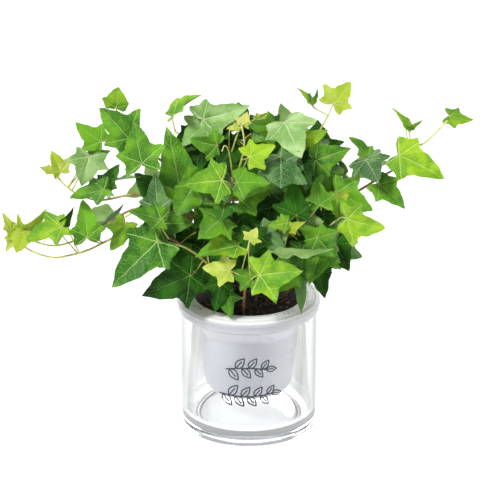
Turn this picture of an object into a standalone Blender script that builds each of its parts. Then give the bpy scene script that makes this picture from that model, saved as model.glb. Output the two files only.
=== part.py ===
"""A potted ivy: a clear glass cylinder, a white planting cup hanging in it, soil, vines and leaves.

Units are metres and +Z is up. The origin is the centre of the glass cylinder's underside.
The plant is given in millimetres from the centre of the soil's top: x right, y back, z up.
"""

import math
from collections import namedtuple

import bmesh
import bpy
from mathutils import Matrix, Vector

MM = 0.001

# Clearances and round pieces
GAP = 0.0003
TURN_STEPS = 48

# Glass cylinder
GLASS_RADIUS = 0.050
GLASS_HEIGHT = 0.097
GLASS_WALL = 0.0032
GLASS_BASE = 0.0108
GLASS_FOOT_ROUND = 0.0025
GLASS_FLOOR_ROUND = 0.0040

# Planting cup: its flange caps the glass and its body hangs inside
CUP_FIT = 0.0004
CUP_WALL = 0.0016
FLANGE_OVERHANG = 0.0030
FLANGE_SKIRT = 0.0060
FLANGE_RISE = 0.0035
FLANGE_ROUND = 0.0030
SKIRT_TAPER = 0.0012
RING_WIDTH = 0.0084
GROOVE_INSET = 0.0016
GROOVE_DEPTH = 0.0011
LIP_DROP = 0.0004
PLUG_DEPTH = 0.0100
SHOULDER_DEPTH = 0.0090
SHOULDER_STEP = 0.0062
CUP_TAPER = 0.0063
CUP_DEPTH = 0.0690
CUP_CORNER = 0.0080

# Soil
SOIL_CROWN = 0.0008
SOIL_FREEBOARD = 0.0027
SOIL_ROUND = 0.0010

# Plant: 1.0 is the real plant, and every path and leaf grows with it
PLANT_SIZE = 1.0
VINE_RADIUS = 0.0011
VINE_TIP_SHARE = 0.55
VINE_SIDES_LEVEL = 1
VINE_STEPS = 2
LEAF_THICKNESS = 0.0008
PETIOLE_THICKNESS = 0.0008
PETIOLE_STEPS = 4
LIGHT_TILT = math.radians(22)

# How a leaf's stalk runs, as shares of its length: it leaves the blade back and down, comes off the
# vine straight, and joins the vine nearer the root than the leaf is
STALK_BACK = 0.8
STALK_DOWN = 0.5
STALK_BEND = 0.4
LONGEST_BEND = 0.008
STALK_RISE = 0.3
ROOTWARD_SLIDE = 0.3

# Radii and heights that follow from the sizes above
GLASS_INNER = GLASS_RADIUS - GLASS_WALL
PLUG_RADIUS = GLASS_INNER - CUP_FIT
FLANGE_UNDER = GLASS_HEIGHT + GAP
FLANGE_TOP = FLANGE_UNDER + FLANGE_RISE
FLANGE_RADIUS = GLASS_RADIUS + FLANGE_OVERHANG
LIP_TOP = FLANGE_TOP - LIP_DROP
GROOVE_RADIUS = GLASS_RADIUS - GROOVE_INSET
MOUTH_RADIUS = GROOVE_RADIUS - RING_WIDTH
MOUTH_TOP = FLANGE_TOP
PLUG_FOOT = FLANGE_UNDER - PLUG_DEPTH
SHOULDER_FOOT = PLUG_FOOT - SHOULDER_DEPTH
SHOULDER_RADIUS = PLUG_RADIUS - SHOULDER_STEP
CUP_FOOT = FLANGE_UNDER - CUP_DEPTH
FOOT_RADIUS = SHOULDER_RADIUS - CUP_TAPER
SOIL_EDGE_RADIUS = MOUTH_RADIUS - GAP
SOIL_EDGE_TOP = MOUTH_TOP - SOIL_FREEBOARD
SOIL_TOP = SOIL_EDGE_TOP + SOIL_CROWN

# Looks: colour, roughness, metallic
GLASS = (0.86, 0.93, 0.92), 0.03, 0.0
CUP_PLASTIC = (0.87, 0.87, 0.88), 0.35, 0.0
SOIL_EARTH = (0.035, 0.022, 0.014), 0.95, 0.0
OLD_STEM = (0.20, 0.12, 0.05), 0.60, 0.0
SHADES = {
    "young": ((0.62, 0.72, 0.14), 0.45, 0.0),
    "bright": ((0.26, 0.50, 0.04), 0.45, 0.0),
    "mid": ((0.10, 0.28, 0.04), 0.42, 0.0),
    "grey": ((0.12, 0.25, 0.09), 0.48, 0.0),
    "deep": ((0.03, 0.12, 0.02), 0.38, 0.0),
}

# Half of each leaf outline, as shares of the leaf's length: across, then along the midrib.
# The points run from the stalk round the basal lobe and the side lobe to the tip.
FORMS = {
    "star": [(0.04, 0), (0.17, -0.17), (0.42, -0.22), (0.38, 0.02),
             (0.62, 0.30), (0.31, 0.40), (0.26, 0.60), (0.12, 0.82)],
    "arrow": [(0.04, 0), (0.14, -0.13), (0.34, -0.17), (0.34, 0.02),
              (0.50, 0.18), (0.29, 0.33), (0.22, 0.57), (0.10, 0.81)],
    "round": [(0.05, 0), (0.20, -0.10), (0.39, -0.04), (0.44, 0.12),
              (0.53, 0.34), (0.38, 0.48), (0.30, 0.66), (0.16, 0.86)],
}
MIDRIB = [0.22, 0.48, 0.76]

# Vines, from the soil to their tips
VINES = {
    "left_low": [(-12, -12), (-26, -18, 28), (-50, -24, 52), (-72, -25, 61), (-89, -24, 60),
                 (-102, -22, 53), (-116, -20, 45), (-130, -18, 40), (-142, -17, 38),
                 (-156, -16, 42), (-171, -15, 51)],
    "left_middle": [(-10, -4), (-22, -8, 36), (-44, -14, 66), (-64, -17, 77), (-84, -17, 75),
                    (-104, -14, 62), (-123, -11, 50), (-142, -9, 44), (-162, -8, 49)],
    "left_high": [(-12, 6), (-24, 0, 42), (-46, -8, 72), (-64, -12, 84), (-84, -15, 86),
                  (-103, -15, 82), (-116, -14, 83), (-130, -12, 90), (-143, -10, 105)],
    "upper_left": [(-6, 10), (-22, 6, 50), (-44, 4, 84), (-66, 3, 108), (-82, 3, 122),
                   (-92, 2, 134), (-95, 1, 146)],
    "wing": [(-4, 2), (-12, 2, 50), (-20, 4, 92), (-36, 5, 116), (-53, 5, 127)],
    "centre": [(-2, -8), (-6, -14, 45), (-11, -17, 80), (-11, -15, 95), (-6, -12, 108),
               (-3, -9, 122), (-5, -6, 136)],
    "top_right": [(8, 4), (16, 4, 50), (28, 4, 88), (38, 4, 105), (46, 4, 118), (52, 3, 130),
                  (57, 2, 140)],
    "right": [(14, -4), (28, -6, 36), (44, -8, 60), (60, -8, 74), (82, -8, 88), (96, -7, 97),
              (106, -6, 103), (112, -5, 111), (118, -4, 118), (128, -2, 122), (146, 0, 141)],
    "right_low": [(10, -14), (22, -16, 24), (38, -18, 43), (52, -20, 58), (62, -22, 68)],
    "front": [(-4, -28), (-3, -40, 20), (-1, -46, 29), (1, -50, 34)],
    "front_left": [(-12, -20), (-20, -28, 24), (-32, -33, 42), (-46, -37, 54), (-60, -41, 60)],
    "back_left": [(-6, 18), (-16, 30, 32), (-34, 44, 52), (-58, 54, 56), (-82, 58, 46),
                  (-102, 58, 34)],
    "back_right": [(6, 18), (14, 32, 38), (32, 46, 66), (56, 54, 76), (80, 54, 72)],
}

# base: where the stalk meets the blade. turn: the blade turned about its midrib, in degrees, where 0
# faces up and forward (or back, for the leaves behind). fold and droop: how the halves rise from the
# midrib, in degrees, and how far the tip falls, as a share of the length.
Leaf = namedtuple("Leaf", "name vine form base tip turn breadth fold droop shade")
FRONT_LEAVES = [
    Leaf("lower_left", "front_left", "arrow", (-65, -49, 63), (-97, -66, 35), 0, 1.0, 8, 0.10, "mid"),
    Leaf("rim_left", "front_left", "star", (-42, -47, 36), (-75, -58, 25), -5, 1.0, 5, 0.14, "deep"),
    Leaf("star", "front", "star", (8, -60, 42), (38, -65, 47), 0, 1.0, 6, 0.05, "bright"),
    Leaf("rim_centre", "front_left", "star", (-20, -36, 26), (-24, -48, 9), 0, 1.0, 5, 0.10, "deep"),
    Leaf("low_fold", "right_low", "star", (52, -30, 49), (43, -46, 30), 10, 1.0, 10, 0.12, "mid"),
    Leaf("grey_star", "right_low", "star", (62, -14, 45), (82, -22, 40), 5, 1.0, 6, 0.10, "grey"),
    Leaf("right_middle", "right_low", "star", (49, -40, 63), (64, -56, 50), 10, 1.0, 8, 0.10, "mid"),
    Leaf("pale_star", "front", "star", (-14, -54, 43), (-33, -57, 47), 10, 1.0, 6, 0.05, "young"),
    Leaf("left_long", "front_left", "arrow", (-8, -46, 59), (-38, -56, 57), 40, 1.0, 10, 0.08, "bright"),
    Leaf("textured", "centre", "star", (-20, -42, 78), (-35, -60, 71), 10, 1.2, 5, 0.10, "mid"),
    Leaf("arrow", "centre", "arrow", (-8, -30, 101), (15, -38, 104), -15, 1.1, 8, 0.08, "mid"),
    Leaf("centre_bright", "centre", "arrow", (-19, -34, 104), (-46, -41, 103), 12, 1.2, 10, 0.06, "bright"),
    Leaf("centre_round", "left_high", "round", (-40, -30, 98), (-51, -43, 81), -10, 1.0, 6, 0.10, "mid"),
    Leaf("dark_point", "left_middle", "arrow", (-65, -29, 81), (-67, -22, 105), 0, 1.0, 6, 0.08, "grey"),
    Leaf("left_curl", "left_middle", "star", (-62, -48, 80), (-84, -53, 89), 30, 0.9, 14, 0.12, "mid"),
    Leaf("upper_face", "upper_left", "star", (-76, -28, 115), (-81, -20, 143), 0, 1.0, 5, 0.06, "mid"),
    Leaf("upper_dark", "upper_left", "star", (-86, -12, 128), (-106, -10, 150), 5, 1.0, 6, 0.10, "mid"),
    Leaf("tall_left", "wing", "arrow", (-49, -14, 87), (-58, -6, 134), 10, 0.9, 8, 0.06, "mid"),
    Leaf("wing", "wing", "star", (-54, 2, 141), (-36, 4, 158), -70, 1.1, 12, 0.10, "bright"),
    Leaf("top_grey", "wing", "arrow", (-33, 0, 138), (0, -4, 149), 10, 0.9, 8, 0.12, "grey"),
    Leaf("top_pale", "top_right", "arrow", (26, -12, 140), (37, -32, 122), 0, 1.4, -6, 0.14, "bright"),
    Leaf("crown", "centre", "star", (1, -32, 121), (19, -33, 130), 5, 1.0, 8, 0.05, "young"),
    Leaf("centre_dark", "top_right", "round", (23, -22, 118), (23, -42, 103), 0, 1.4, -5, 0.14, "deep"),
    Leaf("right_point", "top_right", "arrow", (48, -12, 111), (73, -12, 120), 10, 1.1, 8, 0.08, "mid"),
    Leaf("flag", "right", "star", (63, -17, 89), (89, -26, 78), 0, 0.9, 6, 0.10, "mid"),
    Leaf("right_bright", "right_low", "star", (70, -40, 77), (97, -48, 72), 25, 1.0, 10, 0.06, "bright"),
    Leaf("mid_bright", "right", "star", (51, -30, 84), (48, -26, 103), -10, 1.0, 10, 0.08, "mid"),
    Leaf("top_star", "top_right", "star", (61, 0, 150), (73, 2, 166), 0, 1.1, 6, 0.05, "young"),
    Leaf("runner_wide", "right", "star", (84, -13, 112), (91, -31, 104), 5, 1.4, -6, 0.14, "deep"),
    Leaf("runner_green", "right", "star", (94, -13, 93), (113, -21, 78), -15, 0.9, 10, 0.08, "mid"),
    Leaf("runner_bright", "right", "arrow", (108, -12, 115), (141, -22, 102), -12, 1.0, 8, 0.10, "bright"),
    Leaf("left_grey", "left_high", "star", (-114, -14, 115), (-119, -22, 95), -20, 1.3, 8, 0.12, "grey"),
    Leaf("left_folded", "left_high", "star", (-104, -20, 92), (-128, -26, 89), 45, 1.0, 12, 0.08, "mid"),
    Leaf("left_drop", "left_low", "arrow", (-116, -26, 58), (-119, -18, 84), 10, 1.0, 10, 0.06, "mid"),
    Leaf("left_pale", "left_low", "star", (-88, -33, 70), (-98, -39, 51), -30, 1.0, 8, 0.10, "bright"),
    Leaf("left_low", "left_low", "star", (-135, -18, 62), (-161, -24, 56), 40, 1.0, 10, 0.08, "bright"),
    Leaf("left_tip", "left_middle", "round", (-162, -14, 57), (-168, -22, 44), 10, 1.0, 10, 0.08, "young"),
]
BACK_LEAVES = [
    Leaf("back_low", "back_left", "star", (-14, 44, 40), (-16, 60, 20), 0, 1.0, 6, 0.10, "mid"),
    Leaf("back_left", "back_left", "star", (-62, 60, 66), (-92, 68, 56), 0, 1.0, 6, 0.10, "mid"),
    Leaf("back_far", "back_left", "round", (-102, 64, 42), (-118, 72, 26), 0, 1.0, 6, 0.10, "bright"),
    Leaf("back_centre", "back_right", "arrow", (8, 42, 74), (-10, 52, 96), 0, 1.1, 6, 0.10, "deep"),
    Leaf("back_right", "back_right", "star", (50, 62, 86), (44, 76, 60), 0, 1.1, 6, 0.10, "mid"),
    Leaf("back_top", "top_right", "star", (30, 18, 112), (24, 30, 140), 0, 1.0, 6, 0.10, "mid"),
    Leaf("back_tip", "back_right", "star", (82, 58, 78), (104, 62, 84), 0, 1.0, 6, 0.10, "bright"),
]


def clear_scene():
    for item in list(bpy.data.objects):
        bpy.data.objects.remove(item, do_unlink=True)


def add_material(piece, look):
    colour, roughness, metallic = look
    material = bpy.data.materials.new(piece.name + "_material")
    material.use_nodes = True
    shader = material.node_tree.nodes["Principled BSDF"]
    shader.inputs["Base Color"].default_value = (*colour, 1)
    shader.inputs["Roughness"].default_value = roughness
    shader.inputs["Metallic"].default_value = metallic
    piece.data.materials.append(material)
    return piece


def add_piece(name, bm):
    bmesh.ops.recalc_face_normals(bm, faces=bm.faces)
    mesh = bpy.data.meshes.new(name)
    bm.to_mesh(mesh)
    bm.free()
    piece = bpy.data.objects.new(name, mesh)
    bpy.context.scene.collection.objects.link(piece)
    return piece


def arc(centre, radius, start, end, steps=4):
    """Points (r, z) of an arc about centre, with its angles in degrees from the outward direction."""
    angles = [math.radians(start + (end - start) * i / steps) for i in range(steps + 1)]
    return [(centre[0] + radius * math.cos(a), centre[1] + radius * math.sin(a)) for a in angles]


def turned(name, profile):
    """Spins a profile that runs from the axis to the axis, down its outer side, into a solid."""
    bm = bmesh.new()
    verts = [bm.verts.new((r, 0, z)) for r, z in profile]
    edges = [bm.edges.new(pair) for pair in zip(verts, verts[1:])]
    bmesh.ops.spin(bm, geom=verts + edges, cent=(0, 0, 0), axis=(0, 0, 1), angle=2 * math.pi,
                   steps=TURN_STEPS, use_merge=True)
    bmesh.ops.remove_doubles(bm, verts=bm.verts, dist=0.000001)
    piece = add_piece(name, bm)
    piece.data.shade_smooth()
    piece.data.set_sharp_from_angle(angle=math.radians(35))
    return piece


def build_glass():
    rim = GLASS_WALL / 2
    profile = [(0, GLASS_BASE)]
    floor_round = GLASS_FLOOR_ROUND
    profile += arc((GLASS_INNER - floor_round, GLASS_BASE + floor_round), floor_round, -90, 0)
    profile += arc((GLASS_RADIUS - rim, GLASS_HEIGHT - rim), rim, 180, 0, 6)
    profile += arc((GLASS_RADIUS - GLASS_FOOT_ROUND, GLASS_FOOT_ROUND), GLASS_FOOT_ROUND, 0, -90)
    profile += [(0, 0)]
    return add_material(turned("glass_cylinder", profile), GLASS)


def cup_inner(height):
    """Radius of the cup's inner wall at a height above its corner."""
    if height >= SHOULDER_FOOT:
        share = (height - SHOULDER_FOOT) / (MOUTH_TOP - SHOULDER_FOOT)
        low, high = SHOULDER_RADIUS - CUP_WALL, MOUTH_RADIUS
    else:
        share = (height - CUP_FOOT) / (SHOULDER_FOOT - CUP_FOOT)
        low, high = FOOT_RADIUS - CUP_WALL, SHOULDER_RADIUS - CUP_WALL
    return low + (high - low) * share


def build_cup():
    floor = CUP_FOOT + CUP_WALL
    inner_corner = CUP_CORNER - CUP_WALL
    skirt_foot = FLANGE_UNDER - FLANGE_SKIRT
    profile = [(0, floor)]
    profile += arc((FOOT_RADIUS - CUP_CORNER, CUP_FOOT + CUP_CORNER), inner_corner, -90, 0)
    profile += [(cup_inner(SHOULDER_FOOT), SHOULDER_FOOT), (MOUTH_RADIUS, MOUTH_TOP)]
    profile += [(GROOVE_RADIUS - GROOVE_DEPTH, MOUTH_TOP), (GROOVE_RADIUS, MOUTH_TOP - GROOVE_DEPTH)]
    profile += arc((FLANGE_RADIUS - FLANGE_ROUND, LIP_TOP - FLANGE_ROUND), FLANGE_ROUND, 100, 0)
    profile += [(FLANGE_RADIUS - SKIRT_TAPER, skirt_foot), (GLASS_RADIUS + CUP_FIT, skirt_foot)]
    profile += [(GLASS_RADIUS + CUP_FIT, FLANGE_UNDER), (PLUG_RADIUS, FLANGE_UNDER)]
    profile += [(PLUG_RADIUS, PLUG_FOOT), (SHOULDER_RADIUS, SHOULDER_FOOT)]
    profile += arc((FOOT_RADIUS - CUP_CORNER, CUP_FOOT + CUP_CORNER), CUP_CORNER, 0, -90)
    profile += [(0, CUP_FOOT)]
    return add_material(turned("planting_cup", profile), CUP_PLASTIC)


def soil_height(radius):
    return SOIL_TOP - SOIL_CROWN * (radius / SOIL_EDGE_RADIUS) ** 2


def build_soil():
    floor = CUP_FOOT + CUP_WALL + GAP
    corner = CUP_CORNER - CUP_WALL - GAP
    rings = 4
    profile = [(0, SOIL_TOP)]
    for i in range(1, rings + 1):
        radius = (SOIL_EDGE_RADIUS - SOIL_ROUND) * i / rings
        profile.append((radius, soil_height(radius)))
    shoulder = SOIL_EDGE_TOP - SOIL_ROUND
    profile += [(cup_inner(shoulder) - GAP, shoulder)]
    profile += [(cup_inner(SHOULDER_FOOT) - GAP, SHOULDER_FOOT)]
    profile += arc((FOOT_RADIUS - CUP_CORNER, CUP_FOOT + CUP_CORNER), corner, 0, -90)
    profile += [(0, floor)]
    return add_material(turned("potting_soil", profile), SOIL_EARTH)


def on_plant(point):
    """A place in metres for a point given in millimetres from the centre of the soil's top."""
    return Vector(point) * MM * PLANT_SIZE + Vector((0, 0, SOIL_TOP))


def smooth_path(points, steps):
    """A Catmull-Rom curve through the points."""
    ends = [points[0] * 2 - points[1]] + points + [points[-1] * 2 - points[-2]]
    path = []
    for a, b, c, d in zip(ends, ends[1:], ends[2:], ends[3:]):
        for i in range(steps):
            t = i / steps
            path.append(0.5 * (2 * b + (c - a) * t + (2 * a - 5 * b + 4 * c - d) * t * t
                               + (3 * b - a - 3 * c + d) * t ** 3))
    return path + [points[-1]]


def vine_path(name):
    """A vine's path. Its foot clears the soil by the gap and by what its leaning end dips."""
    root, *rest = VINES[name]
    foot = Vector((*root, 0)) * MM
    foot.z = soil_height(foot.length)
    path = smooth_path([foot] + [on_plant(point) for point in rest], VINE_STEPS)
    lean = (path[1] - path[0]).normalized().xy.length
    path[0].z += GAP + VINE_RADIUS * lean
    return path


def vine_radius(share):
    return VINE_RADIUS * (1 + (VINE_TIP_SHARE - 1) * share)


def build_vine(name):
    path = vine_path(name)
    node = "vine_" + name
    curve = bpy.data.curves.new(node, "CURVE")
    curve.dimensions = "3D"
    curve.bevel_depth = VINE_RADIUS
    curve.bevel_resolution = VINE_SIDES_LEVEL
    curve.use_fill_caps = True
    spline = curve.splines.new("POLY")
    spline.points.add(len(path) - 1)
    for i, (point, place) in enumerate(zip(spline.points, path)):
        point.co = (*place, 1)
        point.radius = vine_radius(i / (len(path) - 1)) / VINE_RADIUS
    vine = bpy.data.objects.new(node, curve)
    bpy.context.scene.collection.objects.link(vine)
    return add_material(vine, OLD_STEM)


def blade_axes(leaf, side):
    """The blade's across, along and upward directions."""
    along = (Vector(leaf.tip) - Vector(leaf.base)).normalized()
    light = Vector((0, side * math.cos(LIGHT_TILT), math.sin(LIGHT_TILT)))
    up = (light - along * light.dot(along)).normalized()
    up = Matrix.Rotation(math.radians(leaf.turn), 3, along) @ up
    return along.cross(up), along, up


def blade_sheet(bm, leaf, side):
    """The blade's upper face. Returns its two vertices at the stalk."""
    base, tip = on_plant(leaf.base), on_plant(leaf.tip)
    length = (tip - base).length
    across, along, up = blade_axes(leaf, side)

    def vertex(x, y):
        rise = abs(x) * math.tan(math.radians(leaf.fold)) - leaf.droop * (max(y, 0) ** 2 + x * x)
        return bm.verts.new(base + length * (across * x + along * y + up * rise))

    ribs = [vertex(0, y) for y in MIDRIB + [1]]
    stalk = []
    for flip in (1, -1):
        rim = [vertex(flip * x * leaf.breadth, y) for x, y in FORMS[leaf.form]]
        stalk.append(rim[0])
        patches = [rim[0:4], [rim[0], rim[3], ribs[0]], [ribs[0]] + rim[3:6], [ribs[0], rim[5], ribs[1]],
                   [ribs[1], rim[5], rim[6], ribs[2]], [ribs[2], rim[6], rim[7], ribs[3]]]
        for patch in patches:
            bm.faces.new(patch[::flip])
    bm.faces.new([stalk[1], stalk[0], ribs[0]])
    bmesh.ops.triangulate(bm, faces=bm.faces)
    return stalk


def nearest_place(path, point):
    """The place on a path that is nearest to a point, as an index and the place itself."""
    places = []
    for i, (a, b) in enumerate(zip(path, path[1:])):
        share = min(max((point - a).dot(b - a) / (b - a).length_squared, 0), 1)
        place = a.lerp(b, share)
        places.append(((point - place).length, i + share, place))
    return min(places, key=lambda item: item[0])


def petiole_path(leaf, side):
    """The stalk's centre line, from the blade to just off the vine."""
    base = on_plant(leaf.base)
    along, up = blade_axes(leaf, side)[1:]
    vine = vine_path(leaf.vine)
    distance, index, place = nearest_place(vine, base)
    clear = vine_radius(index / (len(vine) - 1))
    if index < len(vine) - 1:
        rootward = (vine[int(index)] - vine[int(index) + 1]).normalized()
        place = nearest_place(vine, place + rootward * distance * ROOTWARD_SLIDE)[2]
        away = (base - place).normalized()
    else:
        away = (base - place).normalized()
        clear *= away.cross((vine[-1] - vine[-2]).normalized()).length
    end = place + away * (clear + GAP + PETIOLE_THICKNESS / 2)
    reach = (base - end).length
    bend = base - (along * STALK_BACK + up * STALK_DOWN) * min(reach * STALK_BEND, LONGEST_BEND)
    near = end + away * reach * STALK_RISE
    path = []
    for i in range(1, PETIOLE_STEPS + 1):
        t = i / PETIOLE_STEPS
        s = 1 - t
        path.append(base * s ** 3 + bend * 3 * t * s ** 2 + near * 3 * t ** 2 * s + end * t ** 3)
    return path


def build_leaf(leaf, side):
    bm = bmesh.new()
    stalk = blade_sheet(bm, leaf, side)
    across, along, up = blade_axes(leaf, side)
    base = on_plant(leaf.base)
    lower = bmesh.ops.extrude_face_region(bm, geom=bm.faces[:])["geom"]
    lower = [item for item in lower if isinstance(item, bmesh.types.BMVert)]
    bmesh.ops.translate(bm, verts=lower, vec=-up * LEAF_THICKNESS)
    under = [min(lower, key=lambda v: (v.co - top.co).length) for top in stalk]
    section = [face for face in bm.faces if all(v in stalk + under for v in face.verts)]
    half = PETIOLE_THICKNESS / 2
    centre = base - up * LEAF_THICKNESS / 2
    forward = -along
    for place in petiole_path(leaf, side):
        ring = bmesh.ops.extrude_face_region(bm, geom=section)["geom"]
        bmesh.ops.delete(bm, geom=section, context="FACES_ONLY")
        section = [item for item in ring if isinstance(item, bmesh.types.BMFace)]
        corners = [(vert, math.copysign(half, (vert.co - centre).dot(across)),
                    math.copysign(half, (vert.co - centre).dot(up))) for vert in section[0].verts]
        turn = forward.rotation_difference((place - centre).normalized())
        across, up, forward = turn @ across, turn @ up, turn @ forward
        for vert, right, rise in corners:
            vert.co = place + across * right + up * rise
        centre = place
    return add_material(add_piece("leaf_" + leaf.name, bm), SHADES[leaf.shade])


clear_scene()
build_glass()
build_cup()
build_soil()
for vine_name in VINES:
    build_vine(vine_name)
for front_leaf in FRONT_LEAVES:
    build_leaf(front_leaf, -1)
for back_leaf in BACK_LEAVES:
    build_leaf(back_leaf, 1)
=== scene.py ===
# %% [markdown]
# # A potted ivy
# A small ivy grows in a white planting cup, and the cup hangs by its flange in a clear glass
# cylinder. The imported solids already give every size. This lesson builds the looks around them:
# glass, plastic, peat, woody stems, and leaves that each have veins, a fold and a waxy skin.

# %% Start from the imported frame
import math
import random
from collections import namedtuple

import bpy
from mathutils import Matrix, Vector, noise


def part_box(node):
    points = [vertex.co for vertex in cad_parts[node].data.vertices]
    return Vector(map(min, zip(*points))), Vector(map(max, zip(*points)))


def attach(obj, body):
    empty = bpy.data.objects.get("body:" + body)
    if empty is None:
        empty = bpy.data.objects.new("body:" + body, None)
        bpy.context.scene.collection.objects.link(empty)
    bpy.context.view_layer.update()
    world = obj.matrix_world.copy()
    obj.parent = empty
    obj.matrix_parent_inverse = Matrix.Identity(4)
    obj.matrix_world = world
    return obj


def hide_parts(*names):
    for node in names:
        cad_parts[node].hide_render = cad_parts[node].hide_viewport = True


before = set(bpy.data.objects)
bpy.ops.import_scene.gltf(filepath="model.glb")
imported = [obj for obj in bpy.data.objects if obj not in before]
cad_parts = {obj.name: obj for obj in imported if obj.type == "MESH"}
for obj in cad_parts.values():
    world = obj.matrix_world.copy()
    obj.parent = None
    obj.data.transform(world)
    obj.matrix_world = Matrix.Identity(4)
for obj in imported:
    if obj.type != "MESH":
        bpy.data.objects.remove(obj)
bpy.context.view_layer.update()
MM = 0.001
body = "root"
print("packed nodes:", len(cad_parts))

# %% [markdown]
# A studio for a houseplant is plain. Pale paper lies under it, a soft sky of light comes from all
# round, and a small strong lamp above the left shoulder draws the shine on the leaves. Two wider,
# weaker lamps stand at the right and behind. The sky is brightest near the horizon, so clear glass
# shows white through its sides. A long lens from two metres away keeps the sides of the cylinder
# almost parallel.

# %% Camera
VIEW_TILT = math.radians(22.1)
VIEW_DISTANCE = 2.0
AIM = Vector((0.001, 0, 0.1358))

camera_data = bpy.data.cameras.new("long_lens")
camera_data.lens = 197
camera_data.sensor_width = 36
camera_data.clip_end = 20
camera = bpy.data.objects.new("camera", camera_data)
bpy.context.scene.collection.objects.link(camera)
camera.location = AIM + Vector((0, -math.cos(VIEW_TILT), math.sin(VIEW_TILT))) * VIEW_DISTANCE
camera.rotation_euler = (math.pi / 2 - VIEW_TILT, 0, 0)
bpy.context.scene.camera = camera
print("camera height", round(camera.location.z, 3))

# %% Light
world = bpy.data.worlds.new("soft_sky")
world.use_nodes = True
sky = world.node_tree
direction = sky.nodes.new("ShaderNodeTexCoord").outputs["Generated"]
split = sky.nodes.new("ShaderNodeSeparateXYZ")
sky.links.new(direction, split.inputs[0])
height_ramp = sky.nodes.new("ShaderNodeValToRGB")
sky.links.new(split.outputs["Z"], height_ramp.inputs[0])
height_ramp.color_ramp.elements[0].color = (0.95, 0.95, 0.96, 1)
height_ramp.color_ramp.elements[0].position = 0.22
height_ramp.color_ramp.elements[1].color = (0.30, 0.30, 0.31, 1)
height_ramp.color_ramp.elements[1].position = 0.62
sky.links.new(height_ramp.outputs[0], sky.nodes["Background"].inputs["Color"])
sky.nodes["Background"].inputs["Strength"].default_value = 0.62
bpy.context.scene.world = world
bpy.context.scene.view_settings.view_transform = "Standard"


def add_lamp(name, place, size, power):
    lamp_data = bpy.data.lights.new(name, "AREA")
    lamp_data.size = size
    lamp_data.energy = power
    lamp = bpy.data.objects.new(name, lamp_data)
    bpy.context.scene.collection.objects.link(lamp)
    lamp.location = place
    lamp.rotation_euler = (AIM - lamp.location).to_track_quat("-Z", "Y").to_euler()
    print(name, "at", tuple(place))


add_lamp("key_lamp", Vector((-0.8, -0.9, 1.5)), 0.36, 31)
add_lamp("side_lamp", Vector((1.3, -0.4, 0.9)), 0.7, 8)
add_lamp("back_lamp", Vector((0.2, 1.3, 1.3)), 0.8, 20)

# %% [markdown]
# Every finish here is made of shader nodes. A few small helpers keep the recipes short. One makes a
# node and links what it is given, others do a sum or blend two colours, and one starts a material.
# Every piece is also selected, joined and fixed to the plant in the same few ways.

# %% Shader helpers
def add_node(tree, kind, links=(), **settings):
    node = tree.nodes.new(kind)
    for name, value in settings.items():
        setattr(node, name, value)
    for socket, source in dict(links).items():
        if isinstance(source, bpy.types.NodeSocket):
            tree.links.new(source, node.inputs[socket])
        else:
            node.inputs[socket].default_value = source
    return node


def math_node(tree, operation, first, second=0.0, third=0.0, clamp=False):
    links = {0: first, 1: second, 2: third}
    return add_node(tree, "ShaderNodeMath", links, operation=operation, use_clamp=clamp).outputs[0]


def smooth_range(tree, value, low, high, start=0.0, end=1.0):
    links = {"Value": value, "From Min": low, "From Max": high, "To Min": start, "To Max": end}
    return add_node(tree, "ShaderNodeMapRange", links, interpolation_type="SMOOTHSTEP").outputs[0]


def mix_colour(tree, share, first, second):
    node = add_node(tree, "ShaderNodeMix", {0: share}, data_type="RGBA")
    for socket, source in ((6, first), (7, second)):
        if isinstance(source, bpy.types.NodeSocket):
            tree.links.new(source, node.inputs[socket])
        else:
            node.inputs[socket].default_value = (*source, 1)
    return node.outputs[2]


def noise_at(tree, vector, scale, detail):
    links = {"Vector": vector, "Scale": scale, "Detail": detail}
    return add_node(tree, "ShaderNodeTexNoise", links).outputs["Fac"]


def object_place(tree):
    return add_node(tree, "ShaderNodeTexCoord").outputs["Object"]


def add_bump(tree, shader, height, strength, distance):
    links = {"Height": height, "Strength": strength, "Distance": distance}
    tree.links.new(add_node(tree, "ShaderNodeBump", links).outputs[0], shader.inputs["Normal"])


def new_material(name, **settings):
    material = bpy.data.materials.new(name)
    material.use_nodes = True
    shader = material.node_tree.nodes["Principled BSDF"]
    for socket, value in settings.items():
        shader.inputs[socket.replace("_", " ")].default_value = value
    return material, material.node_tree, shader


print("shader helpers ready")


# %% Piece helpers
def deselect_all():
    bpy.ops.object.select_all(action="DESELECT")


def make_active(piece):
    deselect_all()
    piece.select_set(True)
    bpy.context.view_layer.objects.active = piece


def join_pieces(name, pieces):
    deselect_all()
    for piece in pieces:
        piece.select_set(True)
    bpy.context.view_layer.objects.active = pieces[0]
    bpy.ops.object.join()
    pieces[0].name = name
    return pieces[0]


def settle(piece, slot, *nodes):
    """Fix a finished piece to the plant's one body, and hide the solids it stands for.

    The slot argument is not used.
    """
    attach(piece, body)
    if nodes:
        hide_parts(*nodes)
    print(piece.name, len(piece.data.polygons), "faces")


print("piece helpers ready")
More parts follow.
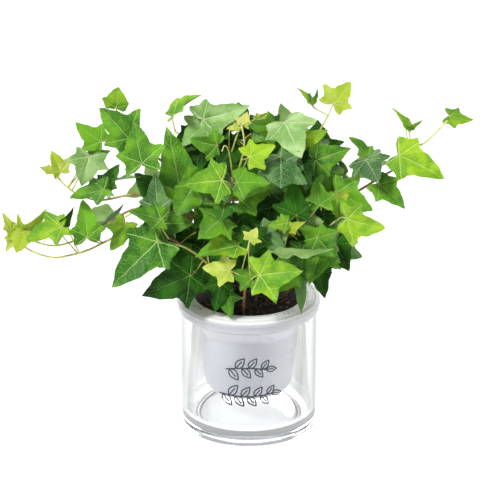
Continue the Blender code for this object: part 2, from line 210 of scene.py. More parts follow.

# %% [markdown]
# The cylinder is pressed glass with a heavy base. Clear glass shows by its edges, and here that is
# painted into its colour: painted reflections grey the wall in faint upright streaks where it turns
# away, and darken it most at its very edge. Light caught inside the base draws rings. Lamp light
# goes through, so shadow rays are given a clear path, and so is light that has bounced once, because
# light that goes round inside a thick wall for ever would come out black.

# %% Glass finish
CLEAR = (1.0, 1.0, 1.0)
# Painted reflections in the glass's colour: grey on the wall where it turns away, darker at its edge
PAINTED_WALL_REFLECTION = (0.36, 0.365, 0.37)
PAINTED_EDGE_REFLECTION = (0.16, 0.20, 0.22)
PAINTED_STREAK_STRETCH = (1, 1, 0.12)
BASE_ENDS, WALL_STARTS = 11 * MM, 17 * MM
glass_finish, tree, shader = new_material("clear_glass", Roughness=0.0, IOR=1.5, Transmission_Weight=1.0)
place = object_place(tree)
height = add_node(tree, "ShaderNodeSeparateXYZ", {0: place}).outputs["Z"]
facing = add_node(tree, "ShaderNodeLayerWeight", {"Blend": 0.5}).outputs["Facing"]
upright = add_node(tree, "ShaderNodeMapping", {"Vector": place, "Scale": PAINTED_STREAK_STRETCH}).outputs[0]
# Painted streaks of reflection, stretched upright, on the wall above the base
painted_streaks = smooth_range(tree, noise_at(tree, upright, 90.0, 3.0), 0.35, 0.68, 0.45, 1.0)
side = math_node(tree, "MULTIPLY", smooth_range(tree, facing, 0.15, 0.45), painted_streaks)
side = math_node(tree, "MULTIPLY", side, smooth_range(tree, height, BASE_ENDS, WALL_STARTS))
# Painted edge reflection, darkest where the wall turns fully away from view
edge = smooth_range(tree, facing, 0.52, 0.92)
glass_colour_with_painted_reflections = mix_colour(tree, edge, mix_colour(tree, side, CLEAR, PAINTED_WALL_REFLECTION), PAINTED_EDGE_REFLECTION)
tree.links.new(glass_colour_with_painted_reflections, shader.inputs["Base Color"])
add_bump(tree, shader, noise_at(tree, place, 30.0, 1.0), 0.12, 0.002)
heavy = add_node(tree, "ShaderNodeVolumeAbsorption", {"Color": (0.0, 0.22, 0.20, 1), "Density": 2.0})
tree.links.new(heavy.outputs[0], tree.nodes["Material Output"].inputs["Volume"])
paths = add_node(tree, "ShaderNodeLightPath")
clear = add_node(tree, "ShaderNodeBsdfTransparent", {"Color": (*CLEAR, 1)})
shaded = add_node(tree, "ShaderNodeBsdfTransparent", {"Color": (0.90, 0.92, 0.925, 1)})
calm = add_node(tree, "ShaderNodeMixShader",
                {0: paths.outputs["Is Reflection Ray"], 1: shader.outputs[0], 2: clear.outputs[0]})
whole = add_node(tree, "ShaderNodeMixShader",
                 {0: paths.outputs["Is Shadow Ray"], 1: calm.outputs[0], 2: shaded.outputs[0]})
tree.links.new(whole.outputs[0], tree.nodes["Material Output"].inputs["Surface"])
print("glass finish ready")

# %% [markdown]
# The cylinder starts as a cylinder primitive. Its top face is inset by the wall, then pushed down to
# leave the thick floor. The underside is inset too, and pushed up, which leaves a foot ring as on
# most pressed glass. Bevels round the rim, the foot and the corner of the floor.

# %% Select and bevel edges
def select_none(piece, mode):
    make_active(piece)
    bpy.ops.object.mode_set(mode="EDIT")
    bpy.ops.mesh.select_mode(type=mode)
    bpy.ops.mesh.select_all(action="DESELECT")
    bpy.ops.object.mode_set(mode="OBJECT")


def select_edges(piece, wanted):
    """Select the edges whose two ends both pass a test on radius and height."""
    select_none(piece, "EDGE")
    vertices = piece.data.vertices
    for edge in piece.data.edges:
        ends = [vertices[i].co for i in edge.vertices]
        edge.select = all(wanted(math.hypot(end.x, end.y), end.z) for end in ends)
    bpy.ops.object.mode_set(mode="EDIT")


def round_ring(piece, radius, height, width, segments):
    near = 0.1 * MM
    select_edges(piece, lambda r, z: abs(r - radius) < near and abs(z - height) < near)
    bpy.ops.mesh.bevel(offset=width, segments=segments)
    bpy.ops.object.mode_set(mode="OBJECT")


print("edges can be rounded")

# %% Model the glass cylinder
GLASS_LOW, GLASS_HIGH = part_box("glass_cylinder")
GLASS_RADIUS = (GLASS_HIGH[0] - GLASS_LOW[0]) / 2
GLASS_HEIGHT = GLASS_HIGH[2]
GLASS_WALL = 3.2 * MM
GLASS_BASE = 10.8 * MM
FOOT_WIDTH = 11.0 * MM
FOOT_RISE = 3.4 * MM
FOOT_TAPER = 0.95
FLOOR_CORNER = 6.0 * MM
RECESS_CORNER = 2.4 * MM
FOOT_INNER_EDGE = 1.2 * MM
FOOT_OUTER_EDGE = 2.5 * MM
RIM_EDGE = 1.4 * MM
ROUND_SIDES = 128

deselect_all()
bpy.ops.mesh.primitive_cylinder_add(vertices=ROUND_SIDES, radius=GLASS_RADIUS, depth=GLASS_HEIGHT,
                                    location=(0, 0, GLASS_HEIGHT / 2))
glass = bpy.context.object
glass.name = "glass_wall"
bpy.ops.object.transform_apply(location=True)
select_none(glass, "FACE")
for face in glass.data.polygons:
    face.select = face.normal.z > 0.9
bpy.ops.object.mode_set(mode="EDIT")
bpy.ops.mesh.inset(thickness=GLASS_WALL)
bpy.ops.mesh.extrude_region_move(TRANSFORM_OT_translate={"value": (0, 0, GLASS_BASE - GLASS_HEIGHT)})
bpy.ops.object.mode_set(mode="OBJECT")
GLASS_INNER = GLASS_RADIUS - GLASS_WALL
round_ring(glass, GLASS_INNER, GLASS_BASE, FLOOR_CORNER, 8)
select_none(glass, "FACE")
for face in glass.data.polygons:
    face.select = face.normal.z < -0.9
bpy.ops.object.mode_set(mode="EDIT")
bpy.ops.mesh.inset(thickness=FOOT_WIDTH)
bpy.ops.mesh.extrude_region_move(TRANSFORM_OT_translate={"value": (0, 0, FOOT_RISE)})
bpy.ops.transform.resize(value=(FOOT_TAPER, FOOT_TAPER, 1), center_override=(0, 0, FOOT_RISE))
bpy.ops.object.mode_set(mode="OBJECT")
FOOT_RADIUS = GLASS_RADIUS - FOOT_WIDTH
round_ring(glass, FOOT_RADIUS * FOOT_TAPER, FOOT_RISE, RECESS_CORNER, 4)
round_ring(glass, FOOT_RADIUS, 0, FOOT_INNER_EDGE, 4)
round_ring(glass, GLASS_RADIUS, 0, FOOT_OUTER_EDGE, 5)
round_ring(glass, GLASS_RADIUS, GLASS_HEIGHT, RIM_EDGE, 4)
round_ring(glass, GLASS_INNER, GLASS_HEIGHT, RIM_EDGE, 4)
bpy.ops.object.shade_smooth_by_angle(angle=math.radians(40))
glass.data.materials.append(glass_finish)
settle(glass, "glass", "glass_cylinder")

# %% [markdown]
# The planting cup is one thin moulding. Its flange caps the glass, its mouth holds the soil, and its
# body hangs in the cylinder like a plain white beaker. A turned piece is drawn as a row of rings: a
# circle is extruded, moved and resized from ring to ring, down the inside and back up the outside.

# %% Cup finish
BODY_TOP, FLANGE_FOOT = 86 * MM, 93 * MM
SKIRT_TOP, DECK_LOW = 98.4 * MM, 99.6 * MM
cup_finish, tree, shader = new_material("white_plastic", Roughness=0.32, Subsurface_Weight=0.6, IOR=1.49)
shader.inputs["Subsurface Radius"].default_value = (1.0, 1.0, 1.05)
shader.inputs["Subsurface Scale"].default_value = 8 * MM
place = object_place(tree)
cloud = smooth_range(tree, noise_at(tree, place, 24.0, 3.0), 0.3, 0.7)
height = add_node(tree, "ShaderNodeSeparateXYZ", {0: place}).outputs["Z"]
# Painted shade: the white cup is painted grey down its body and darker on the flange's skirt
body_painted_shade = mix_colour(tree, cloud, (0.51, 0.52, 0.58), (0.58, 0.59, 0.64))
skirt_painted_shade = mix_colour(tree, cloud, (0.44, 0.45, 0.47), (0.50, 0.505, 0.52))
shade = mix_colour(tree, smooth_range(tree, height, BODY_TOP, FLANGE_FOOT), body_painted_shade, skirt_painted_shade)
# Painted light: the deck, which faces up into the light, is painted near white
shade = mix_colour(tree, smooth_range(tree, height, SKIRT_TOP, DECK_LOW), shade, (0.80, 0.80, 0.79))
grit = smooth_range(tree, noise_at(tree, place, 900.0, 2.0), 0.66, 0.74, 0.0, 0.16)
tree.links.new(mix_colour(tree, grit, shade, (0.45, 0.42, 0.40)), shader.inputs["Base Color"])
scuffs = smooth_range(tree, noise_at(tree, place, 60.0, 3.0), 0.3, 0.7, 0.26, 0.40)
tree.links.new(scuffs, shader.inputs["Roughness"])
add_bump(tree, shader, noise_at(tree, place, 500.0, 2.0), 0.06, 0.3 * MM)
print("cup finish ready")

# %% Turn a profile into a round piece
def turned_piece(name, profile):
    """Extrude a circle along a profile of (radius, height) rings, and close both ends."""
    deselect_all()
    radius, height = profile[0]
    bpy.ops.mesh.primitive_circle_add(vertices=ROUND_SIDES, radius=radius, location=(0, 0, height),
                                      fill_type="NGON")
    piece = bpy.context.object
    piece.name = name
    bpy.ops.object.transform_apply(location=True)
    bpy.ops.object.mode_set(mode="EDIT")
    bpy.ops.mesh.select_mode(type="EDGE")
    for next_radius, next_height in profile[1:]:
        bpy.ops.mesh.extrude_edges_move(TRANSFORM_OT_translate={"value": (0, 0, next_height - height)})
        grow = next_radius / radius
        bpy.ops.transform.resize(value=(grow, grow, 1), center_override=(0, 0, next_height))
        radius, height = next_radius, next_height
    bpy.ops.mesh.edge_face_add()
    bpy.ops.mesh.select_all(action="SELECT")
    bpy.ops.mesh.normals_make_consistent(inside=False)
    bpy.ops.object.mode_set(mode="OBJECT")
    return piece


def arc(centre, radius, start, end, steps=5):
    turns = [math.radians(start + (end - start) * i / steps) for i in range(steps + 1)]
    return [(centre[0] + radius * math.cos(turn), centre[1] + radius * math.sin(turn)) for turn in turns]


def in_mm(*rings):
    return [(radius * MM, height * MM) for radius, height in rings]


print("profiles can be turned")

# %% Model the planting cup
FLANGE_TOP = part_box("planting_cup")[1][2]
FLANGE_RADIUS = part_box("planting_cup")[1][0]
CUP_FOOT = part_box("planting_cup")[0][2]
SOIL_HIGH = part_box("potting_soil")[1]
MOUTH_RADIUS = 40.0 * MM
MOUTH_TOP = FLANGE_TOP
LIP_ROUND = 2.9 * MM
CORNER_ROUND = 8 * MM
CUP_WALL = 1.6 * MM
FLAT_RADIUS = 8 * MM
CUP_CORNER = (25.9 * MM, CUP_FOOT + CORNER_ROUND)
# Up the inside to the mouth
cup_profile = [(FLAT_RADIUS, CUP_FOOT + CUP_WALL)]
cup_profile += arc(CUP_CORNER, 6.4 * MM, -90, 0) + in_mm((38.6, 78.3))
cup_profile += [(39.6 * MM, MOUTH_TOP - 0.8 * MM), (MOUTH_RADIUS, MOUTH_TOP - 0.15 * MM)]
# Over the flange, with its shallow groove, and round its lip
cup_profile += [(MOUTH_RADIUS + 0.5 * MM, MOUTH_TOP), (46.6 * MM, MOUTH_TOP - 0.1 * MM)]
cup_profile += in_mm((47.4, 100.3), (48.0, 99.8), (48.6, 99.7), (49.1, 100.1))
cup_profile += arc((FLANGE_RADIUS - LIP_ROUND, 97.4 * MM), LIP_ROUND, 100, -25, 9)
# Round the skirt, under the flange and down the outside
cup_profile += in_mm((52.2, 95.7), (51.9, 92.0), (51.5, 91.3), (50.4, 91.3), (50.4, 97.3))
cup_profile += in_mm((46.4, 97.3), (46.4, 88.2), (45.6, 87.3), (41.4, 79.6), (40.3, 78.0), (40.1, 76.4))
cup_profile += arc(CUP_CORNER, CORNER_ROUND, 0, -90)
cup_profile += [(FLAT_RADIUS, CUP_FOOT)]
cup = turned_piece("white_cup", cup_profile)
bpy.ops.object.shade_smooth_by_angle(angle=math.radians(38))
cup.data.materials.append(cup_finish)
settle(cup, "cup_plastic", "planting_cup")

# %% [markdown]
# Peat compost is nearly black when damp, with chips of red-brown bark in it, some dark and some
# pale. The bed is a turned disc whose rings are pushed up and down by noise. Chips are one rough
# bead, copied a few hundred times, each stretched, turned and joined, with its own shade of brown.
# A few grains lie on the cup's flange, where they were spilled.

# %% Soil finishes
def earth_finish(name, dark, light, roughness):
    material, tree, shader = new_material(name, Roughness=roughness)
    place = object_place(tree)
    tint = add_node(tree, "ShaderNodeAttribute", attribute_name="tint").outputs["Fac"]
    lumps = smooth_range(tree, noise_at(tree, place, 420.0, 4.0), 0.35, 0.7, -0.25, 0.4)
    share = math_node(tree, "ADD", lumps, tint, clamp=True)
    tree.links.new(mix_colour(tree, share, dark, light), shader.inputs["Base Color"])
    add_bump(tree, shader, noise_at(tree, place, 1400.0, 4.0), 0.8, 0.5 * MM)
    return material


peat_finish = earth_finish("damp_peat", (0.006, 0.004, 0.003), (0.045, 0.026, 0.016), 0.85)
bark_finish = earth_finish("bark_chip", (0.018, 0.009, 0.006), (0.34, 0.19, 0.12), 0.8)
print("soil finishes ready")

# %% Model the soil bed
SOIL_CROWN = 0.8 * MM
SOIL_EDGE = MOUTH_RADIUS - 0.4 * MM
BED_RADIUS = 39.2 * MM
BED_RINGS = 24


def soil_height(x, y):
    rise = SOIL_CROWN * (math.hypot(x, y) / SOIL_EDGE) ** 2
    lump = noise.noise(Vector((x, y, 0)) * 160) * 1.3 * MM
    lump += noise.noise(Vector((x, y, 3 * MM)) * 500) * 0.6 * MM
    return SOIL_HIGH[2] - 0.9 * MM - rise + lump * (1 - (math.hypot(x, y) / SOIL_EDGE) ** 6)


soil_profile = [(24.5 * MM * (i + 0.5) / 4, CUP_FOOT + 1.9 * MM) for i in range(4)]
soil_profile += [(31.8 * MM, CUP_FOOT + 8 * MM), (38.2 * MM, 78.3 * MM), (BED_RADIUS, SOIL_HIGH[2] - 3 * MM)]
soil_profile += [(BED_RADIUS * (BED_RINGS - i) / BED_RINGS, SOIL_HIGH[2]) for i in range(BED_RINGS)]
soil = turned_piece("peat_bed", soil_profile)
for vertex in soil.data.vertices:
    if vertex.co.z > SOIL_HIGH[2] - 0.5 * MM:
        vertex.co.z = soil_height(vertex.co.x, vertex.co.y)
soil.data.materials.append(peat_finish)
bpy.ops.object.shade_smooth_by_angle(angle=math.radians(60))
soil.data.attributes.new("tint", "FLOAT", "POINT")
print("soil bed", len(soil.data.polygons), "faces")

# %% Scatter chips and grains
CHIP_COUNT = 330
GRAIN_COUNT = 26
chance = random.Random(11)
deselect_all()
bpy.ops.mesh.primitive_ico_sphere_add(subdivisions=1, radius=1)
bead = bpy.context.object
for vertex in bead.data.vertices:
    vertex.co *= 1 + 0.5 * noise.noise(vertex.co * 1.7)


def add_chip(place, size, turn, tint, material):
    chip = bead.copy()
    chip.data = bead.data.copy()
    bpy.context.scene.collection.objects.link(chip)
    chip.data.transform(Matrix.Translation(place) @ turn.to_matrix().to_4x4() @ Matrix.Diagonal((*size, 1)))
    shade = chip.data.attributes.new("tint", "FLOAT", "POINT")
    for entry in shade.data:
        entry.value = tint
    chip.data.materials.append(material)
    return chip


def lying_turn():
    flat = Vector((chance.uniform(-1, 1), chance.uniform(-1, 1), chance.uniform(-0.35, 0.35)))
    return flat.to_track_quat("X", "Z")


chips = []
for i in range(CHIP_COUNT):
    reach = SOIL_EDGE * math.sqrt(chance.uniform(0, 0.93))
    turn = chance.uniform(0, 2 * math.pi)
    x, y = reach * math.cos(turn), reach * math.sin(turn)
    long = chance.uniform(0.7, 2.6) * MM
    size = (long, long * chance.uniform(0.3, 0.6), long * chance.uniform(0.2, 0.4))
    place = Vector((x, y, soil_height(x, y) + size[2] * 0.4))
    chips.append(add_chip(place, size, lying_turn(), chance.uniform(-0.3, 0.5), bark_finish))
for i in range(GRAIN_COUNT):
    turn = chance.uniform(0, 2 * math.pi)
    reach = chance.uniform(40.8, 46.5) * MM
    size = [chance.uniform(0.25, 0.7) * MM for _ in range(3)]
    place = Vector((reach * math.cos(turn), reach * math.sin(turn), MOUTH_TOP + 0.2 * MM))
    chips.append(add_chip(place, size, lying_turn(), -0.2, bark_finish))
bpy.data.objects.remove(bead, do_unlink=True)
soil = join_pieces("peat_bed", [soil] + chips)
settle(soil, "soil", "potting_soil")

# %% [markdown]
# The front of the cylinder carries a small printed ornament in thin dark lines. Two plain sprigs of
# leaves are drawn here, a short one above a longer one. Each line is a bevelled curve drawn on a
# flat sheet. The sheet is then pressed thin and wrapped round the glass.

# %% Draw a sprig in lines
PRINT_RADIUS = 0.58 * MM
SPRIG_STEPS = 24
SPRIG_LEANS = (142, 38)


def draw_line(points):
    curve = bpy.data.curves.new("line", "CURVE")
    curve.dimensions = "3D"
    curve.bevel_depth = PRINT_RADIUS
    curve.bevel_resolution = 1
    curve.use_fill_caps = True
    spline = curve.splines.new("POLY")
    spline.points.add(len(points) - 1)
    for point, (x, z) in zip(spline.points, points):
        point.co = (x * MM, 0, z * MM, 1)
    line = bpy.data.objects.new("line", curve)
    bpy.context.scene.collection.objects.link(line)
    make_active(line)
    bpy.ops.object.convert(target="MESH")
    return bpy.context.object


def leaf_lines(x, z, lean, length):
    """The two sides and the midrib of a pointed leaf, as flat points."""
    along = Vector((math.sin(math.radians(lean)), math.cos(math.radians(lean))))
    aside = Vector((along.y, -along.x))
    sides = []
    for bulge in (-0.27, 0.27):
        spots = [along * length * t / 10 + aside * length * bulge * math.sin(math.pi * (t / 10) ** 0.8)
                 for t in range(11)]
        sides.append([(x + spot.x, z + spot.y) for spot in spots])
    rib = [(x + along.x * length * t, z + along.y * length * t) for t in (0, 0.35, 0.7)]
    return sides + [rib]


def draw_sprig(left, right, height, bow, leaf_length, leaves):
    lines = []
    stem = []
    for i in range(SPRIG_STEPS + 1):
        share = i / SPRIG_STEPS
        stem.append((left + (right - left) * share, height + bow * math.sin(math.pi * share)))
    lines.append(draw_line(stem))
    for i in range(leaves):
        share = (i + 0.6) / (leaves + 0.3)
        x = left + (right - left) * share
        z = height + bow * math.sin(math.pi * share)
        size = leaf_length * (1 - 0.25 * share)
        lines += [draw_line(points) for points in leaf_lines(x, z, SPRIG_LEANS[i % 2], size)]
    lines += [draw_line(points) for points in leaf_lines(right, height, 90, leaf_length * 0.7)]
    return lines


print("sprigs can be drawn")

# %% Print a sprig ornament on the glass
PRINT_RAISE = 0.12 * MM
print_finish, tree, shader = new_material("dark_print", Roughness=0.4)
ink = smooth_range(tree, noise_at(tree, object_place(tree), 700.0, 2.0), 0.3, 0.7)
ink_colour = mix_colour(tree, ink, (0.018, 0.024, 0.032), (0.035, 0.045, 0.055))
tree.links.new(ink_colour, shader.inputs["Base Color"])
sprigs = draw_sprig(-17, 13, 62.0, 1.6, 11.0, 6) + draw_sprig(-22, 17, 42.5, -1.6, 11.0, 8)
ornament = join_pieces("sprig_print", sprigs)
bpy.ops.object.mode_set(mode="EDIT")
bpy.ops.mesh.select_all(action="SELECT")
bpy.ops.mesh.normals_make_consistent(inside=False)
bpy.ops.transform.resize(value=(1, PRINT_RAISE / (2 * PRINT_RADIUS), 1), center_override=(0, 0, 0))
bpy.ops.object.mode_set(mode="OBJECT")
for vertex in ornament.data.vertices:
    turn = vertex.co.x / GLASS_RADIUS
    reach = GLASS_RADIUS + PRINT_RAISE * 0.55 - vertex.co.y
    vertex.co.x = reach * math.sin(turn)
    vertex.co.y = -reach * math.cos(turn)
ornament.data.materials.clear()
ornament.data.materials.append(print_finish)
bpy.ops.object.shade_smooth_by_angle(angle=math.radians(60))
settle(ornament, "glass")

# %% [markdown]
# An ivy leaf has five main veins that spread from the top of its stalk, one into each lobe, about
# sixty degrees apart. Folding the angle into one sixty-degree sector draws all five with one sum,
# and side veins then branch from the nearest main vein. A cell pattern makes the finest net. The
# pattern reads a place on the flat leaf that every vertex carries, so it follows each bend.

# %% Vein pattern
def vein_pattern(tree, flat):
    """How strongly each spot of a blade is a vein."""
    wander = add_node(tree, "ShaderNodeTexNoise",
                      {"Vector": flat, "Scale": 3.2, "Detail": 1.0}).outputs["Color"]
    shift = add_node(tree, "ShaderNodeVectorMath", {0: wander, 1: (0.5, 0.5, 0.5)},
                     operation="SUBTRACT").outputs[0]
    bent = add_node(tree, "ShaderNodeVectorMath", {0: shift, 1: (0.07, 0.07, 0), 2: flat},
                    operation="MULTIPLY_ADD").outputs[0]
    parts = add_node(tree, "ShaderNodeSeparateXYZ", {0: bent}).outputs
    across = math_node(tree, "ABSOLUTE", parts["X"])
    squares = math_node(tree, "MULTIPLY", across, across)
    squares = math_node(tree, "MULTIPLY_ADD", parts["Y"], parts["Y"], squares)
    reach = math_node(tree, "SQRT", squares)
    angle = math_node(tree, "ARCTAN2", across, parts["Y"])
    sector = math_node(tree, "WRAP", angle, math.radians(30), math.radians(-30))
    aside = math_node(tree, "ABSOLUTE", math_node(tree, "MULTIPLY", reach, math_node(tree, "SINE", sector)))
    outward = math_node(tree, "MULTIPLY", reach, math_node(tree, "COSINE", sector))
    width = smooth_range(tree, reach, 0.0, 0.9, 0.019, 0.006)
    main = smooth_range(tree, aside, math_node(tree, "MULTIPLY", width, 0.3), width, 1.0, 0.0)
    along = math_node(tree, "MULTIPLY_ADD", aside, -0.85, outward)
    steps = math_node(tree, "PINGPONG", math_node(tree, "DIVIDE", along, 0.17), 0.5)
    side = smooth_range(tree, steps, 0.01, 0.06, 0.5, 0.0)
    fade = smooth_range(tree, aside, 0.05, 0.30, 1.0, 0.25)
    side = math_node(tree, "MULTIPLY", side, fade)
    cells = add_node(tree, "ShaderNodeTexVoronoi", {"Vector": bent, "Scale": 15.0},
                     feature="DISTANCE_TO_EDGE").outputs["Distance"]
    net = smooth_range(tree, cells, 0.0, 0.11, 0.30, 0.0)
    return math_node(tree, "MAXIMUM", main, math_node(tree, "MAXIMUM", side, net))


print("vein pattern ready")


# %% Leaf finishes
def leaf_finish(name, dark, light, vein_colour, roughness, gloss, vein_share=0.7):
    material, tree, shader = new_material(name, Roughness=roughness, Specular_IOR_Level=gloss)
    flat = add_node(tree, "ShaderNodeAttribute", attribute_name="flat").outputs["Vector"]
    tint = add_node(tree, "ShaderNodeAttribute", attribute_name="tint").outputs["Fac"]
    vein = vein_pattern(tree, flat)
    patches = smooth_range(tree, noise_at(tree, object_place(tree), 75.0, 3.0), 0.35, 0.65, 0.0, 0.8)
    speckle = noise_at(tree, flat, 34.0, 4.0)
    share = math_node(tree, "ADD", patches, tint, clamp=True)
    blade = mix_colour(tree, share, dark, light)
    # Pale flecks are partly mottling of the skin and partly painted sheen, small glints of light in the
    # colour
    flecks_and_painted_sheen = smooth_range(tree, speckle, 0.50, 0.75, 0.0, 0.40)
    blade = mix_colour(tree, flecks_and_painted_sheen, blade, light)
    colour = mix_colour(tree, math_node(tree, "MULTIPLY", vein, vein_share), blade, vein_colour)
    tree.links.new(colour, shader.inputs["Base Color"])
    waxy = smooth_range(tree, speckle, 0.3, 0.7, roughness - 0.08, roughness + 0.12)
    tree.links.new(waxy, shader.inputs["Roughness"])
    relief = math_node(tree, "MULTIPLY_ADD", speckle, 0.5, math_node(tree, "MULTIPLY", vein, -1.0))
    add_bump(tree, shader, relief, 0.7, 0.8 * MM)
    return material


# Dark patches, light patches, veins, roughness, gloss and, where it isn't 0.7, how much veins show
LEAF_RECIPES = {
    "young": ((0.36, 0.52, 0.01), (0.74, 0.80, 0.20), (0.84, 0.88, 0.45), 0.42, 0.15, 0.45),
    "bright": ((0.08, 0.29, 0.001), (0.36, 0.60, 0.008), (0.62, 0.80, 0.24), 0.34, 0.20),
    # pale: a grey-green lightened by painted sheen, the whitish shine of light from above and behind
    "pale": ((0.15, 0.35, 0.05), (0.44, 0.65, 0.24), (0.66, 0.78, 0.48), 0.36, 0.30),
    "mid": ((0.014, 0.120, 0.0005), (0.15, 0.41, 0.005), (0.42, 0.64, 0.20), 0.29, 0.20),
    "grey": ((0.018, 0.105, 0.010), (0.15, 0.34, 0.08), (0.50, 0.65, 0.36), 0.29, 0.30),
    # deep: dark green with painted shade, for leaves inside the plant and under others
    "deep": ((0.0005, 0.022, 0.0002), (0.022, 0.135, 0.001), (0.18, 0.38, 0.07), 0.28, 0.14, 0.5),
}
LEAF_FINISHES = {shade: leaf_finish(shade + "_leaf", *recipe) for shade, recipe in LEAF_RECIPES.items()}
UNDERSIDE = leaf_finish("leaf_underside", (0.17, 0.32, 0.07), (0.32, 0.48, 0.16), (0.50, 0.62, 0.32),
                        0.62, 0.2, 0.5)
print("leaf finishes:", ", ".join(LEAF_FINISHES))

# %% [markdown]
# Ivy stems start yellow-green at the growing tip and turn red-brown and woody with age. Each
# vertex of a stem carries its age, and the colour runs along it with a little noise.

# %% Stem finish
STEM_FINISH, tree, shader = new_material("stem_bark", Roughness=0.5, Specular_IOR_Level=0.35)
age = add_node(tree, "ShaderNodeAttribute", attribute_name="age").outputs["Fac"]
grain = noise_at(tree, object_place(tree), 260.0, 3.0)
years = math_node(tree, "ADD", age, smooth_range(tree, grain, 0.3, 0.7, -0.12, 0.12), clamp=True)
ramp = add_node(tree, "ShaderNodeValToRGB", {0: years})
stops = ramp.color_ramp.elements
stops[0].color = (0.66, 0.66, 0.24, 1)
stops[1].position = 1.0
stops[1].color = (0.085, 0.040, 0.018, 1)
for position, colour in ((0.30, (0.42, 0.46, 0.10)), (0.60, (0.30, 0.17, 0.07))):
    stops.new(position).color = (*colour, 1)
tree.links.new(ramp.outputs[0], shader.inputs["Base Color"])
add_bump(tree, shader, grain, 0.3, 0.3 * MM)
print("stem finish ready")

# %% [markdown]
# Three leaf outlines cover the plant: a star with wide side lobes, an arrow with a long middle lobe
# and a rounded young leaf. Each begins as a circle of edges that is extruded inwards ring by ring
# and closed at the stalk, so rings follow the margin and spokes follow the veins. Then each spoke is
# stretched to the outline, and a thin Solidify gives the blade its underside.

# %% Leaf outlines
STALK_NOTCH = 0.03
# Half outlines from stalk to tip, as points across and along the midrib in shares of its length
FORMS = {
    "star": [(0, -STALK_NOTCH), (0.06, -0.10), (0.17, -0.18), (0.30, -0.22), (0.42, -0.22), (0.41, -0.10),
             (0.39, 0.02), (0.50, 0.16), (0.64, 0.31), (0.50, 0.35), (0.36, 0.38), (0.30, 0.43),
             (0.28, 0.52), (0.24, 0.64), (0.17, 0.76), (0.08, 0.90), (0, 1)],
    "arrow": [(0, -STALK_NOTCH), (0.06, -0.09), (0.15, -0.15), (0.25, -0.18), (0.35, -0.18), (0.36, -0.06),
              (0.36, 0.03), (0.42, 0.11), (0.51, 0.20), (0.40, 0.27), (0.31, 0.32), (0.26, 0.40),
              (0.24, 0.52), (0.20, 0.64), (0.14, 0.77), (0.07, 0.89), (0, 1)],
    "round": [(0, -STALK_NOTCH), (0.08, -0.10), (0.20, -0.12), (0.32, -0.10), (0.40, -0.03), (0.43, 0.08),
              (0.46, 0.18), (0.51, 0.27), (0.53, 0.36), (0.46, 0.44), (0.40, 0.50), (0.36, 0.58),
              (0.31, 0.68), (0.24, 0.78), (0.16, 0.88), (0.08, 0.95), (0, 1)],
}


def outline_reach(outline, angle):
    """How far the outline is from the stalk, at an angle from the midrib."""
    ray = Vector((math.sin(angle), math.cos(angle)))
    for first, second in zip(outline, outline[1:]):
        a, b = Vector(first), Vector(second)
        before, after = a.cross(ray), b.cross(ray)
        if before * after <= 0 and before != after:
            spot = a.lerp(b, before / (before - after))
            if spot.dot(ray) > 0:
                return spot.length
    return STALK_NOTCH


print("outlines:", ", ".join(FORMS))

# %% Model one blade of each form
SPOKES = 72
RING_SHARES = [1.0, 0.93, 0.82, 0.68, 0.54, 0.40, 0.26, 0.12]
BLADE_THICKNESS = 0.014


def model_blade(form):
    deselect_all()
    bpy.ops.mesh.primitive_circle_add(vertices=SPOKES, radius=1, fill_type="NOTHING")
    blade = bpy.context.object
    blade.name = form + "_blade"
    bpy.ops.object.mode_set(mode="EDIT")
    for outer, inner in zip(RING_SHARES, RING_SHARES[1:]):
        bpy.ops.mesh.extrude_edges_move()
        shrink = inner / outer
        bpy.ops.transform.resize(value=(shrink, shrink, 1), center_override=(0, 0, 0))
    bpy.ops.mesh.extrude_edges_move()
    bpy.ops.mesh.merge(type="CENTER")
    bpy.ops.object.mode_set(mode="OBJECT")
    flat = blade.data.attributes.new("flat", "FLOAT_VECTOR", "POINT")
    for vertex in blade.data.vertices:
        share = vertex.co.length
        angle = math.atan2(abs(vertex.co.x), vertex.co.y)
        vertex.co *= outline_reach(FORMS[form], angle)
        flat.data[vertex.index].vector = (vertex.co.x, vertex.co.y, share)
    if blade.data.polygons[0].normal.z < 0:
        bpy.ops.object.mode_set(mode="EDIT")
        bpy.ops.mesh.select_all(action="SELECT")
        bpy.ops.mesh.flip_normals()
        bpy.ops.object.mode_set(mode="OBJECT")
    blade.data.materials.append(LEAF_FINISHES["mid"])
    blade.data.materials.append(UNDERSIDE)
    wall = blade.modifiers.new("thickness", "SOLIDIFY")
    wall.thickness = BLADE_THICKNESS
    wall.offset = -1
    wall.material_offset = 1
    bpy.ops.object.modifier_apply(modifier="thickness")
    bpy.ops.object.shade_smooth_by_angle(angle=math.radians(50))
    return blade


BLADES = {form: model_blade(form) for form in FORMS}
for form, blade in BLADES.items():
    print(form, len(blade.data.polygons), "faces")

# %% [markdown]
# The vines are the plant's skeleton. Each is a smooth curve through a few points, which are given in
# millimetres from the centre of the soil's top, x to the right, y to the back and z up. A bevelled
# curve turned into a mesh makes the round stem. It swells a little every few points, as a real stem
# does at its joints.

